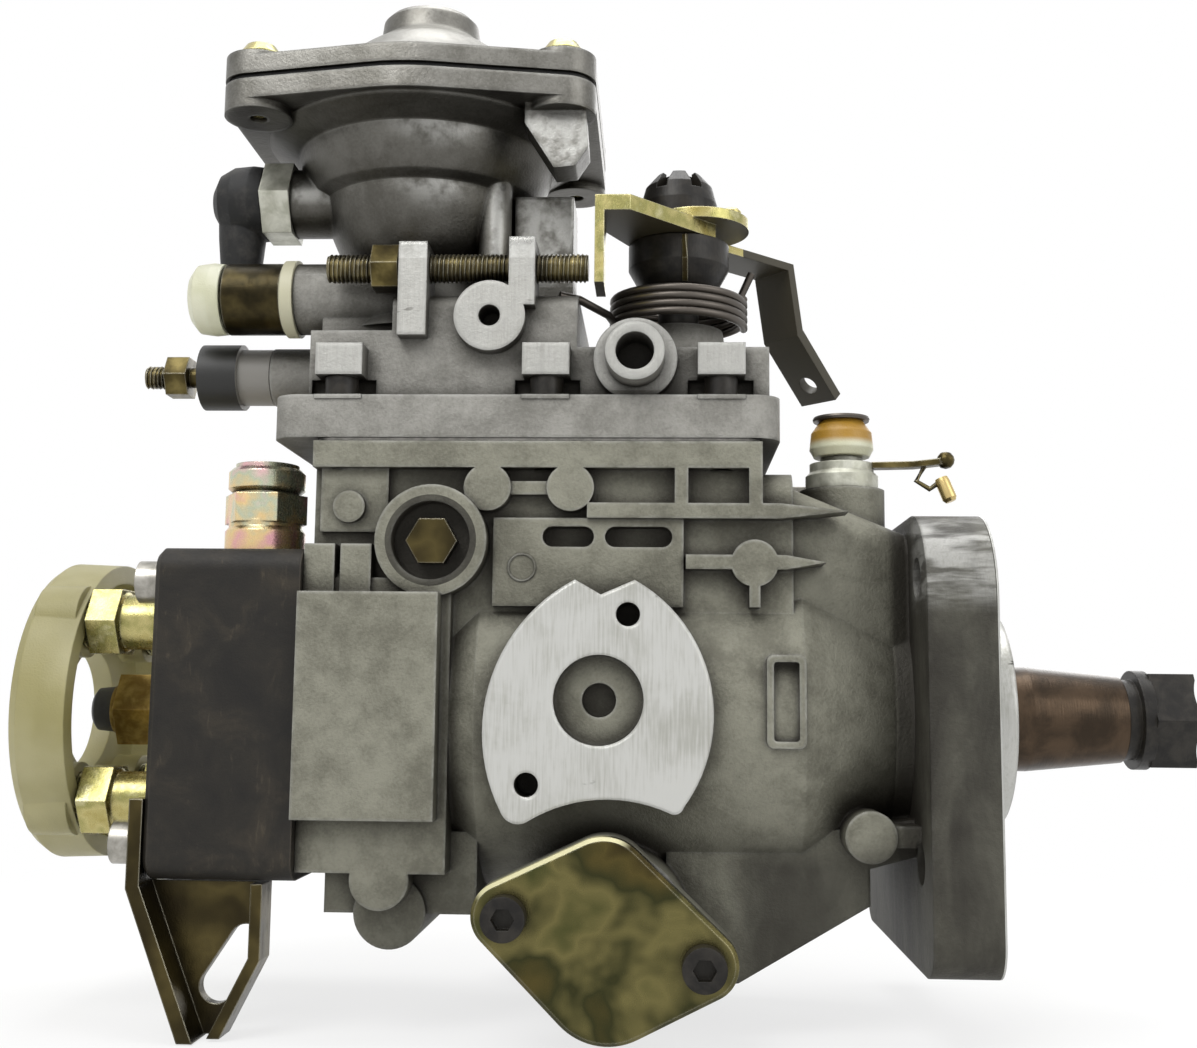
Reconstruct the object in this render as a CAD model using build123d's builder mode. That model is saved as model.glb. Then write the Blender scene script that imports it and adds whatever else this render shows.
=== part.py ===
"""Distributor-type diesel injection pump with boost control.

Millimetres, +Z up. The drive shaft lies along X with its tapered nose towards +X. The origin is on
the shaft axis, in the face of the mounting flange. The near side, which carries the machined pad and
the timing cover, looks towards -Y.
"""
from build123d import *
import os
from math import cos, degrees, radians, sin

os.makedirs("parts", exist_ok=True)

# ---------------------------------------------------------------- clearances
RUN = 0.05  # radial clearance of a running fit
FIT = 0.1  # clearance round a piece that stays put in its hole
GAP = 0.4  # clear gap between pieces that move past each other

# ---------------------------------------------------------------- mounting flange and shaft nose
pilot_radius = 25.0
pilot_length = 9.0
flange_thickness = 15.0
flange_half_width = 48.0
flange_top = 45.5
flange_bottom = -54.0
flange_top_corner = 20.0
flange_bottom_corner = 8.0
flange_bolt_y = 70.0
flange_bolt_z = 62.0
flange_bolt_radius = 4.5
journal_radius = 12.5
shaft_neck_radius = 10.0
taper_start = 16.0
taper_end = 38.5
taper_ratio = 0.1  # radius lost for each millimetre of length, a taper of 1:5
nose_thread_radius = 7.0
nose_end = 53.6
shaft_nut_flats = 22.0
shaft_nut_length = 10.6
shaft_washer_radius = 9.6
shaft_washer_thickness = 3.0
key_radius = 6.5
key_width = 4.0
key_x = 27.0
seal_radius = journal_radius + 4.5
seal_depth = 8.0
bush_radius = journal_radius + 3.0
bush_length = 26.0

# ---------------------------------------------------------------- housing
barrel_radius = 41.0
barrel_start = -40.0
neck_radius = 30.0
chamber_radius = 31.0
chamber_front = -52.0
housing_rear = -151.0
side_face = 34.0  # the cast wall of the governor housing, from the centre plane
rib_face = 38.0
deck_height = 61.0  # joint face under the governor cover
deck_front = -49.0
deck_strip = 6.0
well_half_width = 30.0
well_front = -60.0
well_rear = -140.0
block_face = 44.0
block_front = -120.0
block_top = 26.5
block_bottom = -22.8
pad_x = -84.7
pad_z = 3.4
pad_face = 46.0
pad_radius = 24.0
pad_height = 25.8
pad_bore_radius = 9.7
pad_bore_depth = 4.0
pad_bolt_radius = 2.6
pad_bolt_depth = 9.0
pad_bolts = ((-78.5, 21.8), (-99.9, -14.6))

inlet_x = -28.4
inlet_y = -12.0
inlet_radius = 5.0

# ---------------------------------------------------------------- vane pump
pump_front = -32.0
pump_depth = 20.0
pump_radius = 33.0
pump_eccentricity = 2.5
rotor_radius = 20.0
rotor_length = 12.0
vane_count = 4
vane_thickness = 2.4
cover_plate_thickness = 3.0

valve_x = -39.0  # pressure-regulating valve
valve_y = 14.0
valve_radius = 6.0
valve_bottom = 34.5
valve_seat = 50.0

# ---------------------------------------------------------------- governor gears
gear_module = 2.0
drive_teeth = 31
governor_teeth = 19
gear_front = -62.0
gear_width = 7.5
governor_z = gear_module * (drive_teeth + governor_teeth) / 2
governor_shaft_radius = 4.0
governor_shaft_front = -50.0
governor_shaft_rear = -108.0
cage_radius = 18.2
cage_length = 20.0
weight_pivot_radius = 13.0
weight_pivot_x = -73.5
weight_length = 14.0
toe_radius = 7.75

# ---------------------------------------------------------------- cam drive
ring_front = -76.0
ring_rear = -96.0
ring_bore = 19.0
roller_radius = 6.0
roller_length = 9.0
roller_count = 4
roller_x = -95.7
cam_lift = 2.2
cam_radius = 27.0
cam_face = -104.2
cam_rear = -110.0
claw_inner = 9.0
claw_outer = 15.0
claw_width = 10.0
plunger_radius = 6.0
plunger_end = -180.0
foot_radius = 10.0
foot_thickness = 3.0
bridge_thickness = 3.6
bridge_end = 6.5
bridge_wall = 1.5
guide_pin_radius = 2.5
spring_offset = 20.0
spring_radius = 5.4
spring_wire = 1.6
collar_radius = 10.0
collar_front = -127.0
collar_rear = -136.0
ball_radius = 2.7
ball_z = 10.3

# ---------------------------------------------------------------- timing device
timing_x = -83.0
timing_z = -45.7
timing_bore = 12.5
timing_body_radius = 18.5
timing_face = 48.0
timing_cover_thickness = 4.0
timing_top_centre = 11.0
timing_top_radius = 10.0
timing_bottom_centre = -7.0
timing_bottom_radius = 14.0
timing_lobe_radius = 7.2
timing_bolts = ((-20.3, 4.6), (20.8, -4.7))
timing_stroke = 10.0
piston_length = 58.0
piston_start = -43.0
pin_radius = 4.0
pin_ball = 5.0

# ---------------------------------------------------------------- governor levers
lever_x = -122.6
lever_z = 38.3
lever_pin_radius = 4.0

# ---------------------------------------------------------------- distributor head
head_front = -151.0
head_rear = -184.0
head_half = 36.5
head_half_width = 41.0
head_spigot_rear = -139.0
head_screw_y = 33.0
head_screw_z = 29.0
head_screw_bore = 3.1
outlet_offset = 20.5
holder_radius = 7.0
outlet_tip = -212.0
outlet_hex_flats = 15.0
guard_radius = 35.5
guard_rear = -218.0
guard_front = -205.0
guard_hole = 14.5

# ---------------------------------------------------------------- governor cover
gasket_thickness = 0.8
cover_base = deck_height + gasket_thickness
cover_flange_top = 71.6
cover_rear = -160.0
cover_front = -44.7
cover_half_width = 38.0
cover_screws = ((-144.8, -34.0), (-97.7, -34.0), (-58.1, -34.0), (-144.8, 34.0), (-58.1, 34.0))
cover_screw_radius = 2.5
column_width = 9.5
column_top = 83.5
screw_head_radius = 3.8
column_bore = screw_head_radius + 2 * FIT
cover_roof = 97.0
cover_low_roof = 84.0
plug_boss_x = -111.0
plug_boss_z = 90.5
round_boss_x = -77.5
round_boss_z = 80.3

# ---------------------------------------------------------------- boost unit
boost_x = -132.0
boost_flange_radius = 42.0
boost_split = 148.0
boost_lug_bottom = 141.0
boost_lug_top = 155.0
boost_lugs = ((-36.5, -28.0), (36.5, -28.0), (36.5, 28.0), (-36.5, 28.0))
boost_lug_radius = 8.0
boost_outline = [(boost_x + lug_x, lug_y, boost_lug_radius) for lug_x, lug_y in boost_lugs]
boost_outline.append((boost_x, 0.0, boost_flange_radius))
diaphragm_thickness = 1.0
boost_top = 178.0
boost_pin_radius = 4.0
boost_port_z = 127.8
boost_port_radius = 5.0

# ---------------------------------------------------------------- throttle
throttle_x = -67.5
throttle_y = -5.0
throttle_radius = 5.0
stud_radius = 4.0
throttle_boss_top = 94.0
throttle_disc_z = 119.8
stop_y = -30.0
stop_z = 103.2
stop_radius = 3.0
coil_radius = 16.0
coil_wire = 2.3
coil_pitch = 2.4
coil_count = 4
plate_thickness = 2.6
arm_turn = radians(43.0)
arm_slope = radians(45.0)  # fall of the arm's end
arm_width = 12.0
arm_thickness = 2.0
arm_bends = ((6.0, throttle_disc_z - 3.8), (34.0, throttle_disc_z - 3.8), (37.5, 99.0), (52.5, 84.0))
arm_eye_reach = 49.3
arm_eye_z = 89.2
arm_eye_radius = 2.6


# ================================================================ shared shapes
def side(y, x=0.0, z=0.0):
    """Plane that looks towards -Y, with X to the right and Z up."""
    return Plane(origin=(x, y, z), x_dir=(1, 0, 0), z_dir=(0, -1, 0))


def back(y, x=0.0, z=0.0):
    """Plane that looks towards +Y, with -X to the right and Z up."""
    return Plane(origin=(x, y, z), x_dir=(-1, 0, 0), z_dir=(0, 1, 0))


def front(x, y=0.0, z=0.0):
    """Plane that looks towards +X, with Y to the right and Z up."""
    return Plane(origin=(x, y, z), x_dir=(0, 1, 0), z_dir=(1, 0, 0))


def rod_x(x_from, x_to, radius, y=0.0, z=0.0, mode=Mode.ADD):
    with Locations(((x_from + x_to) / 2, y, z)):
        Cylinder(radius, abs(x_to - x_from), rotation=(0, 90, 0), mode=mode)


def rod_y(y_from, y_to, radius, x=0.0, z=0.0, mode=Mode.ADD):
    with Locations((x, (y_from + y_to) / 2, z)):
        Cylinder(radius, abs(y_to - y_from), rotation=(90, 0, 0), mode=mode)


def rod_z(z_from, z_to, radius, x=0.0, y=0.0, mode=Mode.ADD):
    with Locations((x, y, (z_from + z_to) / 2)):
        Cylinder(radius, abs(z_to - z_from), mode=mode)


def block(x_span, y_span, z_span, mode=Mode.ADD):
    """Rectangular solid between the two values of each span."""
    centre = [sum(span) / 2 for span in (x_span, y_span, z_span)]
    with Locations(tuple(centre)):
        Box(*[abs(span[1] - span[0]) for span in (x_span, y_span, z_span)], mode=mode)


def turned_x(points, y=0.0, z=0.0, mode=Mode.ADD):
    """Solid of revolution about an axis along X, from (x, radius) points."""
    with BuildSketch(Plane(origin=(0, y, z), x_dir=(1, 0, 0), z_dir=(0, -1, 0))) as profile:
        with BuildLine():
            Polyline(*points, close=True)
        make_face()
    revolve(profile.sketch, axis=Axis((0, y, z), (1, 0, 0)), mode=mode)


def turned_z(points, x=0.0, y=0.0, mode=Mode.ADD):
    """Solid of revolution about an upright axis, from (radius, z) points."""
    with BuildSketch(Plane(origin=(x, y, 0), x_dir=(1, 0, 0), z_dir=(0, -1, 0))) as profile:
        with BuildLine():
            Polyline(*points, close=True)
        make_face()
    revolve(profile.sketch, axis=Axis((x, y, 0), (0, 0, 1)), mode=mode)


def hex_prism(plane, flats, length, mode=Mode.ADD):
    with BuildSketch(plane) as profile:
        RegularPolygon(flats / 2, 6, major_radius=False)
    extrude(profile.sketch, amount=length, mode=mode)


def outline_prism(plane, points, length, mode=Mode.ADD):
    with BuildSketch(plane) as profile:
        with BuildLine():
            Polyline(*points, close=True)
        make_face()
    extrude(profile.sketch, amount=length, mode=mode)


def gear_outline(teeth, phase):
    """Trapezoid teeth on a root circle, with a little backlash; one tooth stands at the phase, in degrees."""
    pitch = gear_module * teeth / 2
    root = pitch - 1.25 * gear_module
    tip = pitch + gear_module
    half_root = 0.32 * 3.1416 * gear_module / root
    half_tip = 0.10 * 3.1416 * gear_module / tip
    points = []
    for tooth in range(teeth):
        centre = radians(phase + 360.0 * tooth / teeth)
        for radius, offset in ((root, -half_root), (tip, -half_tip), (tip, half_tip), (root, half_root)):
            points.append((radius * cos(centre + offset), radius * sin(centre + offset)))
    return points


def finish_part(builder, name):
    builder.part.label = name
    export_step(builder.part, "parts/" + name + ".step")


# ================================================================ pump housing
def timing_outline():
    """Timing cover in its own plane: two bolt lobes on a sloping line, an arched top and a rounder bottom."""
    with BuildSketch(mode=Mode.PRIVATE) as shape:
        with Locations((0, timing_top_centre)):
            Circle(timing_top_radius)
        with Locations((1.0, timing_bottom_centre)):
            Circle(timing_bottom_radius)
        with Locations(*timing_bolts):
            Circle(timing_lobe_radius)
        make_hull(shape.sketch.edges())
    return shape.sketch


def pad_outline():
    """Machined pad in its own plane: two bowed sides, a notch on top and a hollow for the cover below."""
    with BuildSketch(mode=Mode.PRIVATE) as shape:
        with BuildLine():
            Polyline((-5.3, pad_height), (0.3, pad_height - 3.2), (7.6, pad_height))
            ThreePointArc((7.6, pad_height), (pad_radius + 0.6, -1.5), (18.3, -22.3))
            ThreePointArc((18.3, -22.3), (17.2, -23.6), (15.4, -23.6))
            ThreePointArc((15.4, -23.6), (0.4, -20.9), (-15.0, -25.8))
            ThreePointArc((-15.0, -25.8), (-18.2, -26.0), (-20.4, -24.0))
            ThreePointArc((-20.4, -24.0), (-pad_radius - 0.7, -4.0), (-5.3, pad_height))
        make_face()
    return shape.sketch


def hull_plate(circles, z_from, z_to):
    """Flat plate whose outline is drawn tight round circles given as (x, y, radius)."""
    with BuildSketch(Plane.XY.offset(z_from)) as shape:
        for x, y, radius in circles:
            with Locations((x, y)):
                Circle(radius)
        make_hull(shape.sketch_local.edges())
    extrude(shape.sketch, amount=z_to - z_from)


def cast_face_details(plane_at, sign):
    """Ribs, bosses and pads cast on one side wall; sign is -1 on the near side and 1 on the far one."""
    wall = sign * (side_face - 4)
    edge = sign * rib_face
    block((housing_rear + 1, deck_front), (sign * (side_face - 2), edge),
          (deck_height - deck_strip, deck_height))
    # upright ribs and the end post between the strip and the long rib
    for rib_x in (-67.0, deck_front - 1.5):
        block((rib_x - 1.5, rib_x + 1.5), (wall, edge), (44.0, deck_height))
    # long pointed rib towards the flange
    outline_prism(plane_at(wall), [(x * -sign, z) for x, z in
                                   ((-88.0, 47.1), (-45.0, 47.1), (-30.0, 45.4), (-45.0, 43.7),
                                    (-88.0, 43.7))],
                  rib_face - side_face + 4)
    # short pointed rib with its round boss
    outline_prism(plane_at(wall), [(x * -sign, z) for x, z in
                                   ((-66.0, 35.6), (-44.0, 35.6), (-35.0, 34.0), (-44.0, 32.4),
                                    (-66.0, 32.4))],
                  rib_face - side_face + 4)
    rod_y(wall, edge, 5.2, -50.8, 33.8)
    block((-52.0, -49.6), (wall, edge), (24.0, 33.0))
    # twin bosses with their web, and the small one by the head
    for boss_x in (-110.4, -91.8):
        rod_y(wall, edge, 5.3, boss_x, 50.5)
    block((-106.0, -96.0), (wall, sign * (rib_face - 1)), (49.0, 52.0))
    block((-148.3, -133.0), (wall, sign * (side_face + 2)), (40.5, 55.0))
    rod_y(wall, edge, 3.6, -141.5, 46.0)
    # raised panel below the bosses
    block((-109.0, -66.5), (wall, sign * (side_face + 2.5)), (24.0, 43.8))
    for pocket_x, pocket_length in ((-92.2, 11.5), (-76.5, 15.0)):
        with BuildSketch(plane_at(sign * (side_face + 3), pocket_x, 39.6)) as pocket_sketch:
            SlotOverall(pocket_length, 4.6)
        extrude(pocket_sketch.sketch, amount=-5.0, mode=Mode.SUBTRACT)
    # lever pivot boss
    rod_y(wall, sign * (rib_face + 2), 12.5, lever_x, lever_z)
    # blocks between the pivot boss and the machined block
    for block_x in (-148.0, -139.8):
        block((block_x - 3.0, block_x + 3.9), (wall, sign * (rib_face + 1)), (block_top - 1, 37.5))


with BuildPart() as housing:
    # mounting flange and pilot
    with BuildSketch(front(-flange_thickness)) as flange_sketch:
        with Locations((0, (flange_top + flange_bottom) / 2)):
            Rectangle(2 * flange_half_width, flange_top - flange_bottom)
        fillet(flange_sketch.vertices().group_by(Axis.Y)[-1], flange_top_corner)
        fillet(flange_sketch.vertices().group_by(Axis.Y)[0], flange_bottom_corner)
    extrude(amount=flange_thickness)
    rod_x(-1, pilot_length, pilot_radius)
    # cam barrel, narrowing to the neck behind the flange
    turned_x([(housing_rear + 20, 0), (housing_rear + 20, barrel_radius - 3), (-118, barrel_radius - 3),
              (-112, barrel_radius), (barrel_start, barrel_radius), (-19, neck_radius),
              (-flange_thickness + 1, neck_radius), (-flange_thickness + 1, 0)])
    # head end: square body with the machined block on both sides
    block((housing_rear, -118), (-rib_face, rib_face), (-head_half + 2, 30))
    block((housing_rear, block_front), (-block_face, block_face), (block_bottom, block_top))
    # governor housing and its shoulder, which slopes down to the flange
    block((housing_rear + 1, deck_front), (-side_face, side_face), (0, deck_height))
    with BuildSketch(front(deck_front - 1)) as shoulder_rear:
        with Locations((0, 26)):
            RectangleRounded(2 * side_face, 58, 6)
    with BuildSketch(front(-flange_thickness + 1)) as shoulder_front:
        with Locations((0, 18)):
            RectangleRounded(48, 48, 6)
    loft([shoulder_rear.sketch, shoulder_front.sketch])
    cast_face_details(side, -1)
    cast_face_details(back, 1)
    # seat of the fuel inlet on the shoulder
    rod_z(36, 53.5, 10.0, inlet_x, inlet_y)
    # timing cylinder across the bottom, with a flange for each cover
    rod_y(-timing_face, timing_face, timing_body_radius, timing_x, timing_z)
    with BuildSketch(side(-timing_face + 8, timing_x, timing_z)) as near_timing:
        add(timing_outline())
    extrude(amount=8)
    with BuildSketch(back(timing_face - 8, timing_x, timing_z)) as far_timing:
        add(timing_outline())
    extrude(amount=8)
    # machined pad on its round foot, notched above and hollowed below
    with BuildSketch(side(-30, pad_x, pad_z)) as pad_sketch:
        add(pad_outline())
    extrude(amount=pad_face - 30)
    # lower webs: foot from the timing cylinder to the flange, and the lug group by the head
    foot_outline = [(-70, -30), (-14, -22), (-14, -30), (-25, -33), (-25, -41), (-54, -58), (-70, -60)]
    outline_prism(side(-14), foot_outline, 14)
    outline_prism(side(28), foot_outline, 14)
    outline_prism(side(14), [(-66, -32), (-14, -24), (-14, -30), (-25, -33), (-25, -37), (-66, -48)], 28)
    block((-146.0, -112.0), (-30, 24), (-44.0, -26.0))
    rod_y(-rib_face, -8, 6.5, -132.4, -35.9)
    rod_y(-32, 10, 8.0, -131.0, -43.5)
    # bolt boss beside the flange with its web
    rod_y(-rib_face, 0, 5.6, -26.0, -25.3)
    block((-26.0, -flange_thickness + 1), (-36, 0), (-27.6, -23.0))
    # raised frame on the barrel
    with BuildSketch(side(-36)) as frame_sketch:
        with Locations((-44.3, 3.5)):
            RectangleRounded(8.5, 20.0, 1.5)
            RectangleRounded(5.5, 17.0, 0.7, mode=Mode.SUBTRACT)
    extrude(amount=6.2)

    # ---- hollows
    turned_x([(pump_front, 0), (pump_front, pump_radius + FIT), (pump_front - pump_depth, pump_radius + FIT),
              (pump_front - pump_depth, 0)], mode=Mode.SUBTRACT)
    turned_x([(chamber_front + 1, 0), (chamber_front + 1, chamber_radius + RUN),
              (housing_rear - 1, chamber_radius + RUN), (housing_rear - 1, 0)], mode=Mode.SUBTRACT)
    gear_room = gear_module * drive_teeth / 2 + gear_module + 1.2
    rod_x(gear_front - gear_width - 1, gear_front + 2.0, gear_room, mode=Mode.SUBTRACT)
    block((well_rear, well_front), (-well_half_width, well_half_width), (0, deck_height + 1),
          mode=Mode.SUBTRACT)
    rod_x(-1, pilot_length + 1, seal_radius + FIT, mode=Mode.SUBTRACT)
    rod_x(pump_front - 1, 0, bush_radius + FIT, mode=Mode.SUBTRACT)
    rod_x(well_front - 1, governor_shaft_front, governor_shaft_radius + FIT, z=governor_z, mode=Mode.SUBTRACT)
    # timing bore and the slot for the pin above it
    rod_y(-timing_face - 1, timing_face + 1, timing_bore + RUN, timing_x, timing_z, mode=Mode.SUBTRACT)
    block((timing_x - pin_radius - 1, timing_x + pin_radius + 1), (-12, 12), (-36.5, -26), mode=Mode.SUBTRACT)
    for bolt in timing_bolts:
        rod_y(-timing_face - 1, -timing_face + 13, 2.6, timing_x + bolt[0], timing_z + bolt[1],
              mode=Mode.SUBTRACT)
        rod_y(timing_face + 1, timing_face - 13, 2.6, timing_x - bolt[0], timing_z + bolt[1],
              mode=Mode.SUBTRACT)
    # pad bore, pad threads, pivot holes with their counterbores
    rod_y(-pad_face - 1, -pad_face + pad_bore_depth, pad_bore_radius, pad_x, pad_z, mode=Mode.SUBTRACT)
    rod_y(-pad_face, -pad_face + 8, 3.7, pad_x, pad_z, mode=Mode.SUBTRACT)
    for bolt_x, bolt_z in pad_bolts:
        rod_y(-pad_face - 1, -pad_face + pad_bolt_depth, pad_bolt_radius, bolt_x, bolt_z, mode=Mode.SUBTRACT)
    for sign in (-1, 1):
        rod_y(sign * (well_half_width - 1), sign * (rib_face + 3), lever_pin_radius + FIT, lever_x, lever_z,
              mode=Mode.SUBTRACT)
        rod_y(sign * (rib_face - 3), sign * (rib_face + 3), 8.8, lever_x, lever_z, mode=Mode.SUBTRACT)
    # flange holes and cover screw threads
    with Locations(front(1)):
        with GridLocations(flange_bolt_y, flange_bolt_z, 2, 2):
            Hole(flange_bolt_radius, depth=flange_thickness + 2)
    for screw_x, screw_y in cover_screws:
        rod_z(deck_height - deck_strip, deck_height + 1, cover_screw_radius + FIT, screw_x, screw_y,
              mode=Mode.SUBTRACT)
    # inlet passage
    rod_z(40, 54, inlet_radius + FIT, inlet_x, inlet_y, mode=Mode.SUBTRACT)
    # head screws enter the rear face
    for y in (-1, 1):
        for z in (-1, 1):
            rod_x(housing_rear - 1, housing_rear + 14, head_screw_bore, y * head_screw_y, z * head_screw_z,
                  mode=Mode.SUBTRACT)
    # regulating valve pocket on the far side of the barrel
    rod_z(valve_bottom - 0.2, 60, valve_radius + FIT, valve_x, valve_y, mode=Mode.SUBTRACT)
    rod_z(valve_seat, 70, 8.7, valve_x, valve_y, mode=Mode.SUBTRACT)
finish_part(housing, "pump_housing")


# ================================================================ drive shaft group
with BuildPart() as drive_shaft:
    taper_drop = (taper_end - taper_start) * taper_ratio
    turned_x([(ring_front, 0), (ring_front, claw_outer), (ring_front + 4.5, claw_outer),
              (ring_front + 4.5, shaft_neck_radius), (pump_front, shaft_neck_radius),
              (pump_front, journal_radius), (taper_start, journal_radius),
              (taper_end, journal_radius - taper_drop), (taper_end, nose_thread_radius),
              (nose_end - 1, nose_thread_radius),
              (nose_end, nose_thread_radius - 1), (nose_end, 0)])
    # two driving claws, on the Y axis
    with BuildSketch(front(ring_front - 9)) as claw_sketch:
        Circle(claw_outer)
        Circle(claw_inner, mode=Mode.SUBTRACT)
        Rectangle(3 * claw_outer, claw_width, mode=Mode.INTERSECT)
    extrude(amount=9)
    # woodruff seat on the far side of the taper
    rod_z(-key_width / 2 - FIT, key_width / 2 + FIT, key_radius + FIT, key_x, journal_radius,
          mode=Mode.SUBTRACT)
finish_part(drive_shaft, "drive_shaft")

with BuildPart() as shaft_nut:
    rod_x(taper_end + 0.1, taper_end + shaft_washer_thickness, shaft_washer_radius)
    nut_start = taper_end + shaft_washer_thickness
    rod_x(nut_start, nut_start + 3.0, shaft_nut_flats / 2 + 0.8)
    hex_prism(front(nut_start + 2.5), shaft_nut_flats, shaft_nut_length)
    turned_x([(nut_start + shaft_nut_length + 1, shaft_nut_flats / 2 - 0.6),
              (nut_start + shaft_nut_length + 4, shaft_nut_flats / 2 + 2.5),
              (nut_start + shaft_nut_length + 4, shaft_nut_flats / 2 - 3.6)], mode=Mode.SUBTRACT)
    rod_x(taper_end - 1, nose_end + 5, nose_thread_radius + FIT, mode=Mode.SUBTRACT)
    # woodruff key on the far side of the taper
    with BuildSketch(Plane.XY.offset(-key_width / 2)) as key_sketch:
        with Locations((key_x, journal_radius)):
            Circle(key_radius)
        with Locations((key_x, journal_radius + 1.6 + key_radius)):
            Rectangle(3 * key_radius, 2 * key_radius, mode=Mode.SUBTRACT)
    extrude(amount=key_width)
finish_part(shaft_nut, "nose_nut_and_key")

with BuildPart() as shaft_bush:
    turned_x([(-bush_length - 2, journal_radius + RUN), (-bush_length - 2, bush_radius), (-2, bush_radius),
              (-2, journal_radius + RUN)])
finish_part(shaft_bush, "shaft_bush")

# vane pump: eccentric ring, rotor with its vanes, cover plate
pump_ring_rear = pump_front - 1 - rotor_length - GAP
with BuildPart() as pump_ring:
    rod_x(pump_front - 0.1, pump_ring_rear, pump_radius)
    rod_x(pump_front + 1, pump_ring_rear - 1, rotor_radius + pump_eccentricity + 0.8, z=pump_eccentricity,
          mode=Mode.SUBTRACT)
    # cover plate behind the ring
    rod_x(pump_ring_rear - 0.1, pump_ring_rear - cover_plate_thickness, pump_radius)
    rod_x(pump_ring_rear, pump_ring_rear - 6, shaft_neck_radius + GAP, mode=Mode.SUBTRACT)
finish_part(pump_ring, "pump_ring_and_plate")

with BuildPart() as pump_rotor:
    rod_x(pump_front - 1, pump_front - 1 - rotor_length, rotor_radius)
    rod_x(pump_front, pump_front - 2 - rotor_length, shaft_neck_radius + FIT, mode=Mode.SUBTRACT)
    for index in range(vane_count):
        with Locations(Location((pump_front - 1 - rotor_length / 2, 0, 0),
                                (360.0 * index / vane_count + 45, 0, 0))):
            with Locations((0, 0, rotor_radius - 2)):
                Box(rotor_length + 2, vane_thickness + 2 * FIT, 13, mode=Mode.SUBTRACT)
    for index in range(vane_count):
        with Locations(Location((pump_front - 1 - rotor_length / 2, 0, 0),
                                (360.0 * index / vane_count + 45, 0, 0))):
            with Locations((0, 0, rotor_radius - 3)):
                Box(rotor_length - 0.4, vane_thickness, 7)
finish_part(pump_rotor, "pump_rotor_and_vanes")

with BuildPart() as drive_gear:
    outline_prism(front(gear_front - gear_width + GAP), gear_outline(drive_teeth, 90.0), gear_width - GAP)
    rod_x(gear_front - gear_width - 1, gear_front + 1, shaft_neck_radius + FIT, mode=Mode.SUBTRACT)
finish_part(drive_gear, "drive_gear")

with BuildPart() as cross_coupling:
    coupling_x = ring_front - 6.5
    with BuildSketch(front(coupling_x)) as cross_sketch:
        Circle(claw_outer)
        Rectangle(4 * claw_outer, claw_width + 2 * FIT, mode=Mode.SUBTRACT)
        Circle(claw_inner - FIT)
        Rectangle(claw_width + 2 * FIT, 4 * claw_outer, mode=Mode.SUBTRACT)
        Circle(claw_inner - FIT)
    extrude(amount=3.0)
finish_part(cross_coupling, "cross_coupling")

# ================================================================ roller ring, cam plate and plunger
rest_tilt = -degrees(timing_stroke / 2 / -timing_z)  # the ring stands half the timing travel back
with BuildPart() as roller_ring:
    rod_x(ring_rear, ring_front, chamber_radius)
    rod_x(ring_rear - 1, ring_front + 1, ring_bore, mode=Mode.SUBTRACT)
    for index in range(roller_count):
        angle = 45.0 + 360.0 * index / roller_count + rest_tilt
        with Locations(Location((roller_x, 0, 0), (angle, 0, 0))):
            with Locations((0, 0, (ring_bore + chamber_radius) / 2 - 1)):
                Cylinder(roller_radius + 0.3, roller_length + 1, mode=Mode.SUBTRACT)
                with Locations((0, 0, 0)):
                    Cylinder(2.0 + FIT, 30, mode=Mode.SUBTRACT)
    with Locations(Location((timing_x, 0, 0), (180 + rest_tilt, 0, 0))):
        with Locations((0, 0, 27)):
            Cylinder(pin_radius + FIT, 20, mode=Mode.SUBTRACT)
        # the pin with its ball, which the timing piston carries
        with Locations((0, 0, (23 - timing_z) / 2)):
            Cylinder(pin_radius, -timing_z - 23)
        with Locations((0, 0, -timing_z)):
            Sphere(pin_ball)
finish_part(roller_ring, "roller_ring_and_pin")

with BuildPart() as rollers:
    for index in range(roller_count):
        angle = 45.0 + 360.0 * index / roller_count + rest_tilt
        with Locations(Location((roller_x, 0, 0), (angle, 0, 0))):
            with Locations((0, 0, (ring_bore + chamber_radius) / 2 - 1)):
                Cylinder(roller_radius, roller_length)
                Cylinder(2.0 + RUN, roller_length + 2, mode=Mode.SUBTRACT)
            with Locations((0, 0, (ring_bore + chamber_radius) / 2)):
                Cylinder(2.0, 10.6)
finish_part(rollers, "cam_rollers")


with BuildPart() as cam_plate:
    rod_x(cam_rear, cam_face, cam_radius)
    for index in range(roller_count):
        lobe_plane = Plane((cam_face, 0, 0), x_dir=(1, 0, 0),
                           z_dir=(0, cos(radians(90.0 * index)), sin(radians(90.0 * index))))
        with BuildSketch(lobe_plane.offset(17.0)) as lobe_sketch:
            with BuildLine():
                Polyline((-1, -7.0), (0, -7.0), (cam_lift, -3.0), (cam_lift, 3.0), (0, 7.0), (-1, 7.0),
                         close=True)
            make_face()
        extrude(amount=cam_radius - 17.5)
    # driving claws on the Z axis and the seat of the plunger foot
    with BuildSketch(front(cam_face - 0.5)) as cam_claws:
        Circle(claw_outer)
        Circle(claw_inner, mode=Mode.SUBTRACT)
        Rectangle(claw_width, 3 * claw_outer, mode=Mode.INTERSECT)
    extrude(amount=ring_front - 4.0 - cam_face)
    rod_x(cam_rear - 1, cam_rear + 3, plunger_radius + FIT, mode=Mode.SUBTRACT)
finish_part(cam_plate, "cam_plate")

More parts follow.
